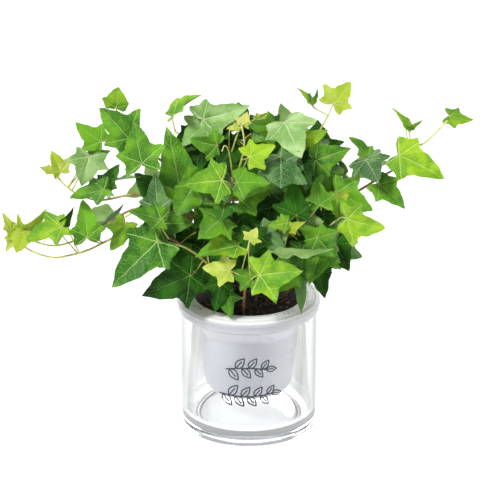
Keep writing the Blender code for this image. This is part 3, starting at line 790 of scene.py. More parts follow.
# %% Routes of the vines
SOIL_TOP = Vector((0, 0, SOIL_HIGH[2]))
VINES = {
    "left_low": [(-12, -12, -5), (-26, -18, 28), (-50, -24, 52), (-72, -25, 61), (-89, -24, 60),
                 (-102, -22, 53), (-116, -20, 45), (-130, -18, 40), (-142, -17, 38),
                 (-156, -16, 42), (-171, -15, 51)],
    "left_middle": [(-10, -4, -5), (-22, -8, 36), (-44, -14, 66), (-64, -17, 77), (-84, -17, 75),
                    (-104, -14, 62), (-123, -11, 50), (-142, -9, 44), (-162, -8, 49)],
    "left_high": [(-12, 6, -5), (-24, 0, 42), (-46, -8, 72), (-64, -12, 84), (-84, -15, 86),
                  (-103, -15, 82), (-116, -14, 83), (-130, -12, 90), (-143, -10, 105)],
    "upper_left": [(-6, 10, -5), (-22, 6, 50), (-44, 4, 84), (-66, 3, 108), (-82, 3, 122),
                   (-92, 2, 134), (-95, 1, 146)],
    "wing": [(-4, 2, -5), (-12, 2, 50), (-20, 4, 92), (-36, 5, 116), (-53, 5, 127)],
    "centre": [(-2, -8, -5), (-6, -14, 45), (-11, -17, 80), (-11, -15, 95), (-6, -12, 108),
               (-3, -9, 122), (-5, -6, 136)],
    "top_right": [(8, 4, -5), (16, 4, 50), (28, 4, 88), (38, 4, 105), (46, 4, 118), (52, 3, 130),
                  (57, 2, 140)],
    "right": [(14, -4, -5), (28, -6, 36), (44, -8, 60), (60, -8, 74), (82, -8, 88), (96, -7, 97),
              (106, -6, 103), (112, -5, 111), (118, -4, 118), (128, -2, 122), (146, 0, 141)],
    "right_low": [(10, -14, -5), (22, -16, 24), (38, -18, 43), (52, -20, 58), (62, -22, 68)],
    "front": [(-4, -28, -5), (-3, -40, 20), (-1, -46, 29), (1, -50, 34)],
    "front_left": [(-12, -20, -5), (-20, -28, 24), (-32, -33, 42), (-46, -37, 54), (-60, -41, 60)],
    "back_left": [(-6, 18, -5), (-16, 30, 32), (-34, 44, 52), (-58, 54, 56), (-82, 58, 46),
                  (-102, 58, 34)],
    "back_right": [(6, 18, -5), (14, 32, 38), (32, 46, 66), (56, 54, 76), (80, 54, 72)],
}
# Stems that only the inner leaves need, and bare young shoots
INNER_VINES = {
    "inner_back": [(0, 22, -5), (2, 30, 40), (0, 34, 74), (-6, 34, 100)],
    "inner_left": [(-14, 12, -5), (-30, 22, 34), (-46, 28, 62), (-56, 28, 86)],
    "inner_right": [(16, 10, -5), (36, 20, 30), (56, 24, 52), (70, 22, 74)],
    "inner_front": [(4, -16, -5), (8, -20, 30), (12, -20, 60), (14, -16, 88)],
    "inner_low_left": [(-16, -6, -5), (-34, -6, 16), (-50, -8, 26), (-62, -8, 40)],
    "inner_low_right": [(18, -4, -5), (36, -2, 12), (52, 2, 22), (64, 4, 36)],
}
SHOOTS = {
    "shoot_a": [(-14, -4, 108), (-14, -4, 127), (-13, -4, 134)],
    "shoot_b": [(-12, -7, 116), (-9, -6, 126), (-4, -5, 137)],
    "shoot_c": [(-11, -17, 95), (-4, -20, 108), (0, -23, 119)],
    "pale_front": [(-3, -46, 28), (-6, -49, 34), (-3, -51, 50), (1, -52, 66)],
    "pale_curl": [(-11, -17, 98), (-14, -22, 121), (-17, -25, 127), (-19, -26, 123)],
    "cross": [(-99, -15, 64), (-93, -16, 61), (-87, -19, 55)],
    "dry_left": [(-62, -43, 72), (-60, -41, 67), (-57, -38, 61)],
    "dry_low": [(-46, -41, 42), (-42, -38, 38), (-38, -34, 33)],
    "right_up": [(20, -38, 44), (25, -40, 53), (27, -38, 62), (30, -36, 71)],
    "right_pair": [(30, -34, 62), (37, -34, 69), (44, -30, 75), (50, -24, 80)],
}
print("routes:", len(VINES), "vines,", len(INNER_VINES), "inner stems,", len(SHOOTS), "shoots")


# %% Draw a stem along a route
def on_plant(point):
    return Vector(point) * MM + SOIL_TOP


def smooth_path(points, steps=6):
    """A curve through the points, which passes each one without a corner."""
    ends = [points[0] * 2 - points[1]] + points + [points[-1] * 2 - points[-2]]
    path = []
    for a, b, c, d in zip(ends, ends[1:], ends[2:], ends[3:]):
        for i in range(steps):
            t = i / steps
            path.append(0.5 * (2 * b + (c - a) * t + (2 * a - 5 * b + 4 * c - d) * t * t
                               + (3 * b - a - 3 * c + d) * t ** 3))
    return path + [points[-1]]


def add_tube(name, path, radii, ages, sides):
    """A round stem along a path, with a radius and an age at each point."""
    curve = bpy.data.curves.new(name, "CURVE")
    curve.dimensions = "3D"
    curve.bevel_depth = 1.0
    curve.bevel_resolution = (sides - 4) // 2
    curve.use_fill_caps = True
    spline = curve.splines.new("POLY")
    spline.points.add(len(path) - 1)
    for point, place, radius in zip(spline.points, path, radii):
        point.co = (*place, 1)
        point.radius = radius
    tube = bpy.data.objects.new(name, curve)
    bpy.context.scene.collection.objects.link(tube)
    make_active(tube)
    bpy.ops.object.convert(target="MESH")
    tube = bpy.context.object
    bpy.ops.object.mode_set(mode="EDIT")
    bpy.ops.mesh.select_all(action="SELECT")
    bpy.ops.mesh.remove_doubles(threshold=0.000001)
    bpy.ops.mesh.normals_make_consistent(inside=False)
    bpy.ops.object.mode_set(mode="OBJECT")
    bpy.ops.object.shade_smooth_by_angle(angle=math.radians(60))
    age = tube.data.attributes.new("age", "FLOAT", "POINT")
    for vertex in tube.data.vertices:
        nearest = min(range(len(path)), key=lambda i: (path[i] - vertex.co).length_squared)
        age.data[vertex.index].value = ages[nearest]
    tube.data.materials.clear()
    tube.data.materials.append(STEM_FINISH)
    return tube


print("stems can be drawn")

# %% Grow the stems
STEM_RADIUS = 1.1 * MM
STEM_TIP_SHARE = 0.55
STEM_SIDES = 10
JOINT_SWELL = 1.14
JOINT_EVERY = 7
SHOOT_RADIUS = 0.6 * MM


def grow_stem(name, path, radius, oldest, youngest=0.05):
    last = len(path) - 1
    shares = [i / last for i in range(len(path))]
    radii = [radius * (1 + (STEM_TIP_SHARE - 1) * share) * (JOINT_SWELL if i % JOINT_EVERY == 3 else 1.0)
             for i, share in enumerate(shares)]
    return add_tube(name, path, radii, [oldest + (youngest - oldest) * share for share in shares], STEM_SIDES)


PATHS = {name: smooth_path([on_plant(point) for point in points])
         for name, points in {**VINES, **INNER_VINES}.items()}
for name in VINES:
    settle(grow_stem(name + "_stem", PATHS[name], STEM_RADIUS, 1.0), "stem", "vine_" + name)
inner = [grow_stem(name, PATHS[name], STEM_RADIUS, 1.0) for name in INNER_VINES]
settle(join_pieces("inner_stems", inner), "stem")
shoots = [grow_stem(name, smooth_path([on_plant(point) for point in points]), SHOOT_RADIUS, 0.45, 0.0)
          for name, points in SHOOTS.items()]
settle(join_pieces("young_shoots", shoots), "stem")

# %% [markdown]
# A leaf is given by the place where its stalk meets the blade, the place of its tip, and how it is
# turned, widened, folded and drooped. The flat blade is copied and every vertex is carried to its
# place: the halves rise from the midrib, the tip falls, the skin swells between the veins and the
# margin waves. No two leaves match, because each draws its own lobes and waves from its name. The
# stalk is a thin curve from the blade to its stem, which it joins a little nearer to the root.

# %% Bend a blade
LIGHT_TILT = math.radians(22)
FRONT_LIGHT = Vector((0, -math.cos(LIGHT_TILT), math.sin(LIGHT_TILT)))
BACK_LIGHT = Vector((0, math.cos(LIGHT_TILT), math.sin(LIGHT_TILT)))
SWELL = 0.075
GROOVE, GROOVE_WIDTH = 0.018, 0.03
MARGIN_WAVE = 0.034
MARGIN_RIPPLE = 0.02
LOBE_SPREAD = 26
Leaf = namedtuple("Leaf", "name vine form base tip turn breadth fold droop shade tint", defaults=[0])


def blade_axes(leaf, light):
    along = (Vector(leaf.tip) - Vector(leaf.base)).normalized()
    up = (light - along * light.dot(along)).normalized()
    up = Matrix.Rotation(math.radians(leaf.turn), 3, along) @ up
    return along.cross(up), along, up


def lobe_shape(chance):
    """How much longer or shorter this leaf's own side and back lobes are, left and right."""
    lobes = [(side * angle, chance.uniform(-0.14, 0.14)) for side in (-1, 1) for angle in (58, 118)]
    return lobes, chance.uniform(0, 2 * math.pi), chance.uniform(-0.10, 0.10), chance.uniform(-0.05, 0.10)


def blade_spot(x, y, share, lift, leaf, shape):
    """A vertex of the flat blade, moved to its place on the bent leaf, in shares of the length."""
    lobes, phase, lean, twist = shape
    angle = math.degrees(math.atan2(x, y))
    grow = 1 + sum(more * math.exp(-((angle - centre) / LOBE_SPREAD) ** 2) for centre, more in lobes)
    grow += MARGIN_RIPPLE * share ** 4 * math.sin(math.radians(angle) * 23 + phase)
    x, y = x * grow * leaf.breadth, y * grow
    x += lean * max(y, 0) * (1 - max(y, 0))
    reach = math.hypot(x, y)
    sector = (abs(angle) + 30) % 60 - 30
    aside = reach * abs(math.sin(math.radians(sector)))
    height = abs(x) * math.tan(math.radians(leaf.fold))
    height -= leaf.droop * (max(y, 0) ** 2 + 0.8 * x * x)
    height += SWELL * reach * math.sin(math.radians(abs(sector) * 3)) ** 2
    height -= GROOVE * math.exp(-(aside / GROOVE_WIDTH) ** 2)
    height += MARGIN_WAVE * share ** 3 * math.sin(math.radians(angle) * 7 + phase) + twist * x * y * 2
    return x, y, height + lift


print("a blade can bend")

# %% Lead a stalk to its stem
STALK_STEPS = 10
ROOTWARD_SLIDE = 0.3
STALK_BACK, STALK_DOWN = 0.8, 0.5
STALK_BEND = 0.4
LONGEST_BEND = 8 * MM
STALK_RISE = 0.3


def nearest_place(path, point):
    places = []
    for i, (a, b) in enumerate(zip(path, path[1:])):
        share = min(max((point - a).dot(b - a) / (b - a).length_squared, 0), 1)
        place = a.lerp(b, share)
        places.append(((point - place).length, i + share, place))
    return min(places, key=lambda item: item[0])


def stalk_path(leaf, light):
    base = on_plant(leaf.base)
    along, up = blade_axes(leaf, light)[1:]
    path = PATHS[leaf.vine]
    distance, index, place = nearest_place(path, base)
    if index < len(path) - 1:
        rootward = (path[int(index)] - path[int(index) + 1]).normalized()
        place = nearest_place(path, place + rootward * distance * ROOTWARD_SLIDE)[2]
    reach = (base - place).length
    bend = base - (along * STALK_BACK + up * STALK_DOWN) * min(reach * STALK_BEND, LONGEST_BEND)
    near = place.lerp(base, STALK_RISE)
    curve = []
    for i in range(STALK_STEPS + 1):
        t = i / STALK_STEPS
        curve.append(base * (1 - t) ** 3 + bend * 3 * t * (1 - t) ** 2
                     + near * 3 * t * t * (1 - t) + place * t ** 3)
    return curve


print("a stalk can find its stem")

# %% Grow one leaf
STALK_RADIUS = 0.5 * MM
STALK_FLARE = 1.25
STALK_SIDES = 8
YOUNG_STALK, OLD_STALK = 0.12, 0.34


def grow_leaf(leaf, light=FRONT_LIGHT):
    chance = random.Random(leaf.name)
    shape = lobe_shape(chance)
    across, along, up = blade_axes(leaf, light)
    base, tip = on_plant(leaf.base), on_plant(leaf.tip)
    length = (tip - base).length
    blade = BLADES[leaf.form].copy()
    blade.data = BLADES[leaf.form].data.copy()
    blade.name = leaf.name + "_leaf"
    bpy.context.scene.collection.objects.link(blade)
    flat = blade.data.attributes["flat"]
    for vertex in blade.data.vertices:
        x, y, lift = vertex.co
        x, y, height = blade_spot(x, y, flat.data[vertex.index].vector.z, lift, leaf, shape)
        vertex.co = base + length * (across * x + along * y + up * height)
    tint = blade.data.attributes.new("tint", "FLOAT", "POINT")
    value = leaf.tint + chance.uniform(-0.18, 0.18)
    for entry in tint.data:
        entry.value = value
    blade.data.materials[0] = LEAF_FINISHES[leaf.shade]
    age = YOUNG_STALK if leaf.shade in ("young", "bright") else OLD_STALK
    radii = [STALK_RADIUS * (STALK_FLARE if i > STALK_STEPS - 2 else 1.0) for i in range(STALK_STEPS + 1)]
    ages = [age] * (STALK_STEPS + 1)
    tube = add_tube(leaf.name + "_stalk", stalk_path(leaf, light), radii, ages, STALK_SIDES)
    return join_pieces(blade.name, [blade, tube])


print("a leaf can grow")

# %% [markdown]
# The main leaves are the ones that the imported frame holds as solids, and each takes the place of its
# solid. They are listed from the lowest at the front to the runners at the sides.

# %% Main leaves
FRONT_LEAVES = [
    Leaf("lower_left", "front_left", "arrow", (-65, -49, 63), (-97, -66, 35), 0, 1.0, 8, 0.10, "mid", -0.25),
    Leaf("rim_left", "front_left", "star", (-42, -47, 36), (-75, -58, 25), -5, 1.0, 5, 0.14, "deep"),
    Leaf("star", "front", "star", (8, -60, 42), (38, -65, 47), 0, 1.0, 6, 0.05, "bright"),
    Leaf("rim_centre", "front_left", "star", (-20, -36, 26), (-24, -48, 9), 0, 1.0, 5, 0.10, "deep"),
    Leaf("low_fold", "right_low", "star", (52, -30, 49), (43, -46, 30), 10, 1.0, 10, 0.12, "mid"),
    Leaf("grey_star", "right_low", "star", (62, -14, 45), (82, -22, 40), 5, 1.0, 6, 0.10, "grey", 0.4),
    Leaf("right_middle", "right_low", "star", (49, -40, 63), (64, -56, 50), 10, 1.0, 8, 0.10, "mid"),
    Leaf("pale_star", "front", "star", (-14, -54, 43), (-33, -57, 47), 10, 1.0, 6, 0.05, "young", 0.3),
    Leaf("left_long", "front_left", "arrow", (-8, -46, 59), (-38, -56, 57),
         40, 1.0, 10, 0.08, "bright", -0.2),
    Leaf("textured", "centre", "star", (-20, -42, 78), (-35, -60, 71), 10, 1.2, 5, 0.10, "mid"),
    Leaf("arrow", "centre", "arrow", (-8, -30, 101), (15, -38, 104), -15, 1.1, 8, 0.08, "mid"),
    Leaf("centre_bright", "centre", "arrow", (-19, -34, 104), (-46, -41, 103),
         12, 1.2, 10, 0.06, "bright", -0.4),
    Leaf("centre_round", "left_high", "round", (-40, -30, 98), (-51, -43, 81), -10, 1.0, 6, 0.10, "mid"),
    Leaf("dark_point", "left_middle", "arrow", (-65, -29, 81), (-67, -22, 105), 0, 1.0, 6, 0.08, "grey"),
    Leaf("left_curl", "left_middle", "star", (-62, -48, 80), (-84, -53, 89), 30, 0.9, 14, 0.12, "mid"),
    Leaf("upper_face", "upper_left", "star", (-76, -28, 115), (-81, -20, 143), 0, 1.0, 5, 0.06, "mid"),
    Leaf("upper_dark", "upper_left", "star", (-86, -12, 128), (-106, -10, 150), 5, 1.0, 6, 0.10, "mid"),
    Leaf("tall_left", "wing", "arrow", (-49, -14, 87), (-58, -6, 134), 10, 0.9, 8, 0.06, "mid"),
    Leaf("wing", "wing", "star", (-54, 2, 141), (-36, 4, 158), -70, 1.1, 12, 0.10, "bright"),
    Leaf("top_grey", "wing", "arrow", (-33, 0, 138), (0, -4, 149), 10, 0.9, 14, 0.14, "pale", -0.2),
    Leaf("top_pale", "top_right", "arrow", (26, -12, 140), (37, -32, 122), 0, 1.4, -6, 0.14, "pale", 0.1),
    Leaf("crown", "centre", "star", (1, -32, 121), (19, -33, 130), 5, 1.0, 8, 0.05, "bright", 0.5),
    Leaf("centre_dark", "top_right", "round", (23, -22, 118), (23, -42, 103), 0, 1.4, -5, 0.14, "grey", -0.3),
    Leaf("right_point", "top_right", "arrow", (48, -12, 111), (73, -12, 120), 10, 1.1, 8, 0.08, "mid"),
    Leaf("flag", "right", "star", (63, -17, 89), (89, -26, 78), 0, 0.9, 6, 0.10, "mid"),
    Leaf("right_bright", "right_low", "star", (70, -40, 77), (97, -48, 72), 25, 1.0, 10, 0.06, "bright"),
    Leaf("mid_bright", "right", "star", (51, -30, 84), (48, -26, 103), -10, 1.0, 10, 0.08, "mid", 0.4),
    Leaf("top_star", "top_right", "star", (61, 0, 150), (73, 2, 166), 0, 1.1, 6, 0.05, "young", -0.6),
    Leaf("runner_wide", "right", "star", (84, -13, 112), (91, -31, 104), 5, 1.4, -6, 0.14, "grey"),
    Leaf("runner_green", "right", "star", (94, -13, 93), (113, -21, 78), -15, 0.9, 10, 0.08, "mid"),
    Leaf("runner_bright", "right", "arrow", (108, -12, 115), (141, -22, 102), -12, 1.0, 8, 0.10, "bright"),
    Leaf("left_grey", "left_high", "star", (-114, -14, 115), (-119, -22, 95),
         -20, 1.3, 10, 0.12, "pale", -0.2),
    Leaf("left_folded", "left_high", "star", (-104, -20, 92), (-128, -26, 89), 45, 1.0, 12, 0.08, "mid"),
    Leaf("left_drop", "left_low", "arrow", (-116, -26, 58), (-119, -18, 84), 10, 1.0, 10, 0.06, "mid"),
    Leaf("left_pale", "left_low", "star", (-88, -33, 70), (-98, -39, 51), -30, 1.0, 8, 0.10, "bright"),
    Leaf("left_low", "left_low", "star", (-135, -18, 62), (-161, -24, 56), 40, 1.0, 10, 0.08, "bright"),
    Leaf("left_tip", "left_middle", "round", (-162, -14, 57), (-168, -22, 44),
         10, 1.0, 10, 0.08, "young", -0.5),
]
BACK_LEAVES = [
    Leaf("back_low", "back_left", "star", (-14, 44, 40), (-16, 60, 20), 0, 1.0, 6, 0.10, "mid"),
    Leaf("back_left", "back_left", "star", (-62, 60, 66), (-92, 68, 56), 0, 1.0, 6, 0.10, "mid"),
    Leaf("back_far", "back_left", "round", (-102, 64, 42), (-118, 72, 26), 0, 1.0, 6, 0.10, "bright"),
    Leaf("back_centre", "back_right", "arrow", (8, 42, 74), (-10, 52, 96), 0, 1.1, 6, 0.10, "deep"),
    Leaf("back_right", "back_right", "star", (50, 62, 86), (44, 76, 60), 0, 1.1, 6, 0.10, "mid"),
    Leaf("back_top", "top_right", "star", (30, 18, 112), (24, 30, 140), 0, 1.0, 6, 0.10, "mid"),
    Leaf("back_tip", "back_right", "star", (82, 58, 78), (104, 62, 84), 0, 1.0, 6, 0.10, "bright"),
]
print("main leaves:", len(FRONT_LEAVES), "in front and", len(BACK_LEAVES), "behind")

# %% Grow the main leaves
for light, leaves in ((FRONT_LIGHT, FRONT_LEAVES), (BACK_LIGHT, BACK_LEAVES)):
    for leaf in leaves:
        settle(grow_leaf(leaf, light), leaf.shade + "_leaf", "leaf_" + leaf.name)

# %% [markdown]
# Between the main leaves grow many smaller ones: new leaves at the shoots' tips, narrow ones seen
# on edge, and older ones half hidden in the plant. They are grown the same way and joined by shade,
# because they are too small to be parts of their own.

# %% Small leaves
SMALL_LEAVES = [
    # The top left shoot and the wing
    Leaf("tiny_top", "upper_left", "round", (-95, 0, 147), (-93, -4, 163), 0, 1.1, 8, 0.08, "bright"),
    Leaf("under_wing_grey", "wing", "star", (-31, 0, 134), (-48, -11, 123), 20, 1.0, 8, 0.10, "pale", -0.4),
    Leaf("under_wing_deep", "wing", "arrow", (-42, 6, 126), (-54, 0, 120), 0, 1.1, 6, 0.10, "deep"),
    Leaf("dome", "wing", "arrow", (-23, -10, 122), (-42, -15, 127), -25, 1.2, 12, 0.20, "mid", 0.2),
    Leaf("side_strip", "left_high", "arrow", (-80, -6, 96), (-101, -2, 93), 80, 0.8, 8, 0.06, "grey", 0.3),
    Leaf("left_light", "left_high", "star", (-106, -8, 124), (-124, -8, 138), -10, 0.9, 8, 0.08, "mid", 0.7),
    Leaf("end_gold", "left_high", "star", (-135, -11, 102), (-141, -8, 117), 20, 1.0, 8, 0.08, "young", -0.2),
    Leaf("end_bud", "left_high", "arrow", (-143, -10, 103), (-150, -12, 106),
         10, 1.0, 8, 0.08, "young", -0.3),
    Leaf("behind_folded", "left_high", "arrow", (-104, -9, 91), (-93, -6, 106), 0, 1.0, 6, 0.10, "mid", -0.3),
    Leaf("over_folded", "left_high", "arrow", (-112, -8, 113), (-99, -11, 118), 0, 0.8, 6, 0.10, "mid"),
    Leaf("deep_shoulder", "left_high", "star", (-60, -16, 82), (-82, -11, 101), 0, 1.0, 6, 0.10, "deep"),
    Leaf("wing_root", "wing", "star", (-47, -12, 86), (-34, 0, 114), 0, 0.9, 6, 0.10, "mid", -0.1),
    # The left runners
    Leaf("runner_strip", "left_low", "arrow", (-112, -14, 57), (-90, -4, 73), 75, 0.8, 8, 0.06, "grey", 0.4),
    Leaf("left_gold_up", "left_middle", "arrow", (-161, -10, 53), (-146, -7, 71),
         40, 0.8, 14, 0.08, "young", -0.6),
    Leaf("left_gold_out", "left_middle", "star", (-163, -11, 54), (-177, -16, 53),
         20, 0.9, 8, 0.10, "young", -0.5),
    Leaf("left_slim", "left_low", "arrow", (-135, -13, 60), (-126, -9, 74), 40, 0.6, 10, 0.06, "deep"),
    Leaf("left_needle", "left_middle", "arrow", (-165, -12, 58), (-167, -10, 70),
         0, 0.6, 10, 0.04, "young", -0.4),
    Leaf("left_bud", "left_low", "arrow", (-171, -15, 50), (-176, -19, 43), 0, 0.9, 10, 0.04, "young"),
    Leaf("left_last", "left_low", "arrow", (-172, -11, 57), (-178, -8, 70), 20, 0.7, 10, 0.04, "young", -0.3),
    # The crown
    Leaf("crown_mid", "top_right", "star", (18, -2, 134), (0, -10, 136), -20, 1.0, 6, 0.10, "mid"),
    Leaf("crown_grey", "top_right", "star", (26, 4, 118), (2, 0, 124), 0, 1.0, 6, 0.10, "grey"),
    Leaf("young_middle", "centre", "star", (-4, -5, 136), (-1, -4, 145), 0, 1.2, 8, 0.05, "young"),
    Leaf("young_right", "centre", "arrow", (6, -3, 139), (15, -3, 144), 30, 1.0, 8, 0.05, "young", -0.3),
    Leaf("young_left", "centre", "arrow", (-8, -6, 134), (-16, -8, 134), 20, 1.0, 8, 0.05, "young", -0.2),
    Leaf("crown_tip", "top_right", "arrow", (30, -3, 135), (40, -3, 142), 20, 1.0, 8, 0.08, "bright", -0.3),
    Leaf("crown_back", "top_right", "star", (50, 10, 109), (50, 19, 131), 0, 1.2, 6, 0.10, "deep", 0.2),
    Leaf("crown_inner", "top_right", "star", (35, -8, 111), (22, -9, 119), 0, 1.0, 6, 0.10, "deep"),
    Leaf("grey_patch", "wing", "star", (-20, 8, 108), (-36, 4, 114), 0, 1.0, 6, 0.10, "grey", 0.2),
    Leaf("top_blade_left", "top_right", "arrow", (45, 0, 151), (35, 0, 162), 60, 0.8, 8, 0.05, "bright"),
    Leaf("top_blade_right", "top_right", "arrow", (46, 0, 151), (50, 2, 161),
         60, 0.8, 8, 0.05, "bright", -0.3),
    Leaf("pale_fold", "top_right", "arrow", (37, -10, 125), (57, -13, 134), 20, 0.9, 8, 0.08, "bright", 0.3),
    Leaf("dark_sheen", "top_right", "star", (22, -24, 113), (40, -40, 104), 10, 1.0, 4, 0.10, "grey", -0.2),
    Leaf("dark_lobe", "top_right", "star", (36, -20, 114), (44, -38, 104), 0, 0.9, 4, 0.10, "deep"),
    # The right runner
    Leaf("curl_left", "right", "arrow", (115, -2, 132), (103, 2, 147), 50, 0.6, 14, 0.06, "bright"),
    Leaf("curl_right", "right", "arrow", (115, -2, 132), (125, -2, 138), 50, 0.7, 14, 0.06, "bright", -0.3),
    Leaf("runner_end", "right", "star", (144, -1, 141), (161, -4, 138), 30, 0.8, 8, 0.08, "bright"),
    Leaf("runner_fold", "right", "arrow", (86, 0, 110), (73, 6, 124), 40, 0.9, 16, 0.08, "mid", 0.2),
    # The middle of the plant
    Leaf("under_curl", "left_low", "arrow", (-66, -30, 70), (-40, -36, 72), 0, 1.1, 6, 0.12, "mid", -0.4),
    Leaf("over_textured", "centre", "star", (-17, -36, 87), (-20, -55, 83), 0, 1.3, 6, 0.12, "mid", -0.3),
    Leaf("low_shadow", "left_middle", "star", (-32, -12, 50), (-45, -27, 32), 0, 1.2, 6, 0.10, "deep"),
    Leaf("beside_star", "front", "star", (2, -51, 36), (-14, -53, 42), 0, 1.0, 6, 0.10, "mid", 0.3),
    Leaf("mid_dark", "centre", "arrow", (18, -24, 64), (10, -17, 90), 0, 1.1, 6, 0.08, "deep", 0.2),
    Leaf("bud_front", "front", "star", (1, -52, 66), (6, -52, 75), 0, 1.2, 8, 0.05, "young", 0.2),
    Leaf("bud_behind", "front", "star", (3, -42, 68), (0, -48, 48), 0, 1.1, 6, 0.10, "deep", 0.2),
    Leaf("grey_step", "right_low", "star", (9, -36, 66), (26, -46, 56), 0, 1.1, 6, 0.10, "grey"),
    Leaf("bright_step", "right_low", "arrow", (27, -40, 74), (14, -45, 74), 0, 1.0, 8, 0.10, "bright", -0.4),
    Leaf("teal", "right_low", "star", (34, -32, 77), (31, -24, 100), 0, 1.0, 6, 0.10, "deep", 0.3),
    Leaf("olive_under", "right_low", "star", (37, -26, 68), (46, -18, 88), 160, 1.0, 6, 0.08, "mid"),
    Leaf("olive_left", "right_low", "arrow", (22, -38, 62), (22, -34, 78), 150, 1.0, 6, 0.08, "mid"),
    Leaf("gold_step", "right_low", "arrow", (29, -40, 70), (39, -41, 75), 0, 1.0, 8, 0.06, "young", -0.6),
    Leaf("fill_step", "right_low", "star", (44, -24, 62), (50, -24, 84), 0, 1.2, 8, 0.10, "deep"),
    Leaf("gold_high", "right", "star", (60, -20, 81), (73, -20, 90), 20, 1.0, 8, 0.06, "young", -0.5),
    Leaf("pale_low", "right_low", "arrow", (57, -37, 59), (65, -41, 52), 0, 0.9, 8, 0.06, "pale", 0.2),
    Leaf("right_shadow", "right_low", "star", (63, -24, 52), (72, -37, 36), 0, 1.1, 8, 0.10, "deep"),
    Leaf("right_drop", "right_low", "arrow", (50, -26, 31), (55, -38, 15), 0, 1.1, 8, 0.10, "deep", 0.2),
    Leaf("star_back", "right_low", "star", (39, -36, 50), (20, -44, 44), 0, 1.0, 8, 0.10, "mid", -0.3),
    Leaf("star_under", "right_low", "star", (32, -38, 35), (20, -50, 25), 0, 1.1, 8, 0.10, "mid", -0.2),
    Leaf("blue_drop", "right_low", "arrow", (37, -36, 34), (37, -53, 9), 30, 0.6, 8, 0.08, "grey"),
    Leaf("grey_back", "right_low", "star", (65, -14, 56), (51, -14, 70), 0, 1.1, 8, 0.10, "grey"),
    Leaf("soil_leaf", "front", "star", (-16, -40, 18), (-13, -51, 5), 20, 1.0, 8, 0.10, "mid", -0.2),
    Leaf("pale_edge", "right_low", "arrow", (24, -50, 58), (60, -58, 57), 100, 0.8, 12, 0.06, "pale", -0.2),
    Leaf("under_right", "right_low", "star", (50, -35, 60), (36, -34, 70), 10, 1.0, 8, 0.10, "mid"),
    Leaf("beyond_arrow", "centre", "star", (-6, -20, 84), (18, -22, 95), -10, 1.0, 8, 0.08, "mid", 0.2),
    # The shaded leaves over the soil
    Leaf("low_a", "left_middle", "star", (-50, -24, 50), (-58, -34, 32), 10, 1.1, 6, 0.10, "deep"),
    Leaf("low_b", "front_left", "star", (-30, -24, 42), (-36, -36, 20), -10, 1.1, 6, 0.10, "deep"),
    Leaf("low_c", "front", "star", (-10, -28, 48), (-16, -38, 24), 10, 1.1, 6, 0.10, "deep", 0.2),
    Leaf("low_d", "inner_front", "star", (14, -28, 52), (10, -38, 28), -10, 1.1, 6, 0.10, "deep"),
    Leaf("low_e", "right_low", "star", (32, -26, 58), (26, -36, 34), 10, 1.1, 6, 0.10, "deep", 0.1),
    Leaf("low_f", "right_low", "star", (48, -20, 42), (56, -30, 20), 0, 1.1, 6, 0.10, "deep"),
    Leaf("low_g", "centre", "star", (0, -20, 74), (8, -28, 48), 0, 1.1, 6, 0.10, "deep", 0.2),
    Leaf("low_h", "inner_front", "star", (26, -18, 80), (20, -26, 54), -10, 1.1, 6, 0.10, "deep"),
    Leaf("low_i", "left_middle", "star", (-24, -20, 72), (-22, -30, 48), 10, 1.1, 6, 0.10, "deep"),
    Leaf("low_j", "right_low", "star", (48, -16, 72), (58, -22, 50), 0, 1.1, 6, 0.10, "deep"),
]
print("small leaves:", len(SMALL_LEAVES))

# %% Grow the small leaves
small_by_shade = {}
for leaf in SMALL_LEAVES:
    small_by_shade.setdefault(leaf.shade, []).append(grow_leaf(leaf))
for shade, pieces in small_by_shade.items():
    settle(join_pieces("small_" + shade + "_leaves", pieces), shade + "_leaf")
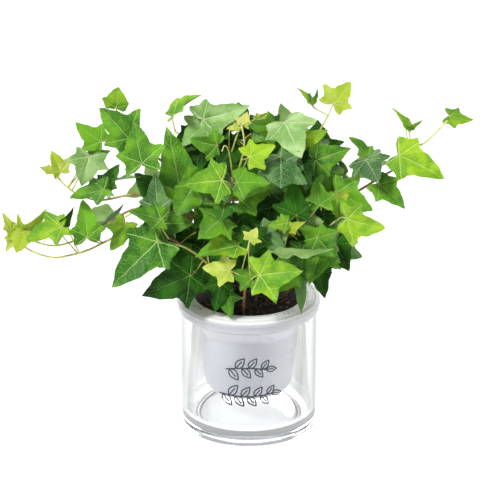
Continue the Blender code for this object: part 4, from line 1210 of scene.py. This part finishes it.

# %% [markdown]
# Behind them all, older leaves fill the plant, so it is dark inside and full from every side. Most
# of those on the front half take the deep finish, whose dark green carries painted shade. Their
# places are spread evenly over a dome by the golden angle. A leaf on the front half stays close to
# the middle, behind the main leaves, and one on the back half stands out, as ivy grows to all sides.
# The back of the dome swells and sinks in patches, so that side is not too even.

# %% Inner leaves
INNER_COUNT = 74
INNER_CENTRE = Vector((4, 2, 66))
INNER_REACH = Vector((66, 50, 62))
INNER_SPAN = 1.75
INNER_LENGTHS = (24, 33)
BASE_SHARE, TIP_SHARE = 0.35, 0.65
INNER_FORMS = ("star", "arrow", "star", "round")
# Most front leaves take the deep finish, painted shade for the dark inside of the plant
FRONT_SHADES = ("deep", "mid", "deep", "grey", "deep")
BACK_SHADES = ("mid", "deep", "mid", "grey", "bright")
FRONT_DEPTH = 14
BACK_SWELL = 0.7
SWELL_PATCHES = 2.4
GOLDEN_ANGLE = math.pi * (3 - math.sqrt(5))
chance = random.Random(5)
inner_by_shade = {}
for i in range(INNER_COUNT):
    height = 1 - INNER_SPAN * (i + 0.5) / INNER_COUNT
    turn = i * GOLDEN_ANGLE
    ring = math.sqrt(1 - height * height)
    outward = Vector((ring * math.cos(turn), ring * math.sin(turn), height))
    depth = INNER_REACH.y if outward.y > 0 else FRONT_DEPTH
    swell = 1 + BACK_SWELL * noise.noise(outward * SWELL_PATCHES) * max(outward.y, 0)
    reach = Vector((outward.x * INNER_REACH.x, outward.y * depth, outward.z * INNER_REACH.z))
    spot = INNER_CENTRE + reach * swell
    falling = Vector((chance.uniform(-0.8, 0.8), chance.uniform(-0.3, 0.3), -1))
    along = (falling - outward * falling.dot(outward)).normalized()
    length = chance.uniform(*INNER_LENGTHS)
    base, tip = spot - along * length * BASE_SHARE, spot + along * length * TIP_SHARE
    form = INNER_FORMS[i % 4]
    shade = (FRONT_SHADES if outward.y < 0 else BACK_SHADES)[i % 5]
    vine = min(PATHS, key=lambda name: nearest_place(PATHS[name], on_plant(base))[0])
    light = Vector((outward.x * 0.7, outward.y - 0.25 * (outward.y < 0), outward.z * 0.7 + 0.3)).normalized()
    leaf = Leaf("inner_%d" % i, vine, form, base, tip, chance.uniform(-25, 25), 1.0, chance.uniform(4, 12),
                chance.uniform(0.04, 0.16), shade)
    inner_by_shade.setdefault(shade, []).append(grow_leaf(leaf, light))
for shade, pieces in inner_by_shade.items():
    settle(join_pieces("inner_" + shade + "_leaves", pieces), shade + "_leaf")

# %% [markdown]
# The three flat blades were only patterns to copy, so they are taken away.

# %% Clear away the flat patterns
for blade in BLADES.values():
    bpy.data.objects.remove(blade, do_unlink=True)
print("flat patterns cleared away")

# %% [markdown]
# The floor is a wide sheet of pale paper. It glows a little, so the ground under the glass stays as
# white as a studio sweep.

# %% Floor
deselect_all()
bpy.ops.mesh.primitive_plane_add(size=8, location=(0, 0, -0.3 * MM))
floor = bpy.context.object
floor.name = "floor"
paper, tree, shader = new_material("pale_paper", Roughness=0.95, Emission_Strength=0.62)
shader.inputs["Emission Color"].default_value = (1, 1, 1, 1)
fibre = smooth_range(tree, noise_at(tree, object_place(tree), 40.0, 3.0), 0.3, 0.7)
tree.links.new(mix_colour(tree, fibre, (0.47, 0.47, 0.47), (0.50, 0.50, 0.50)), shader.inputs["Base Color"])
floor.data.materials.append(paper)
print("floor ready")
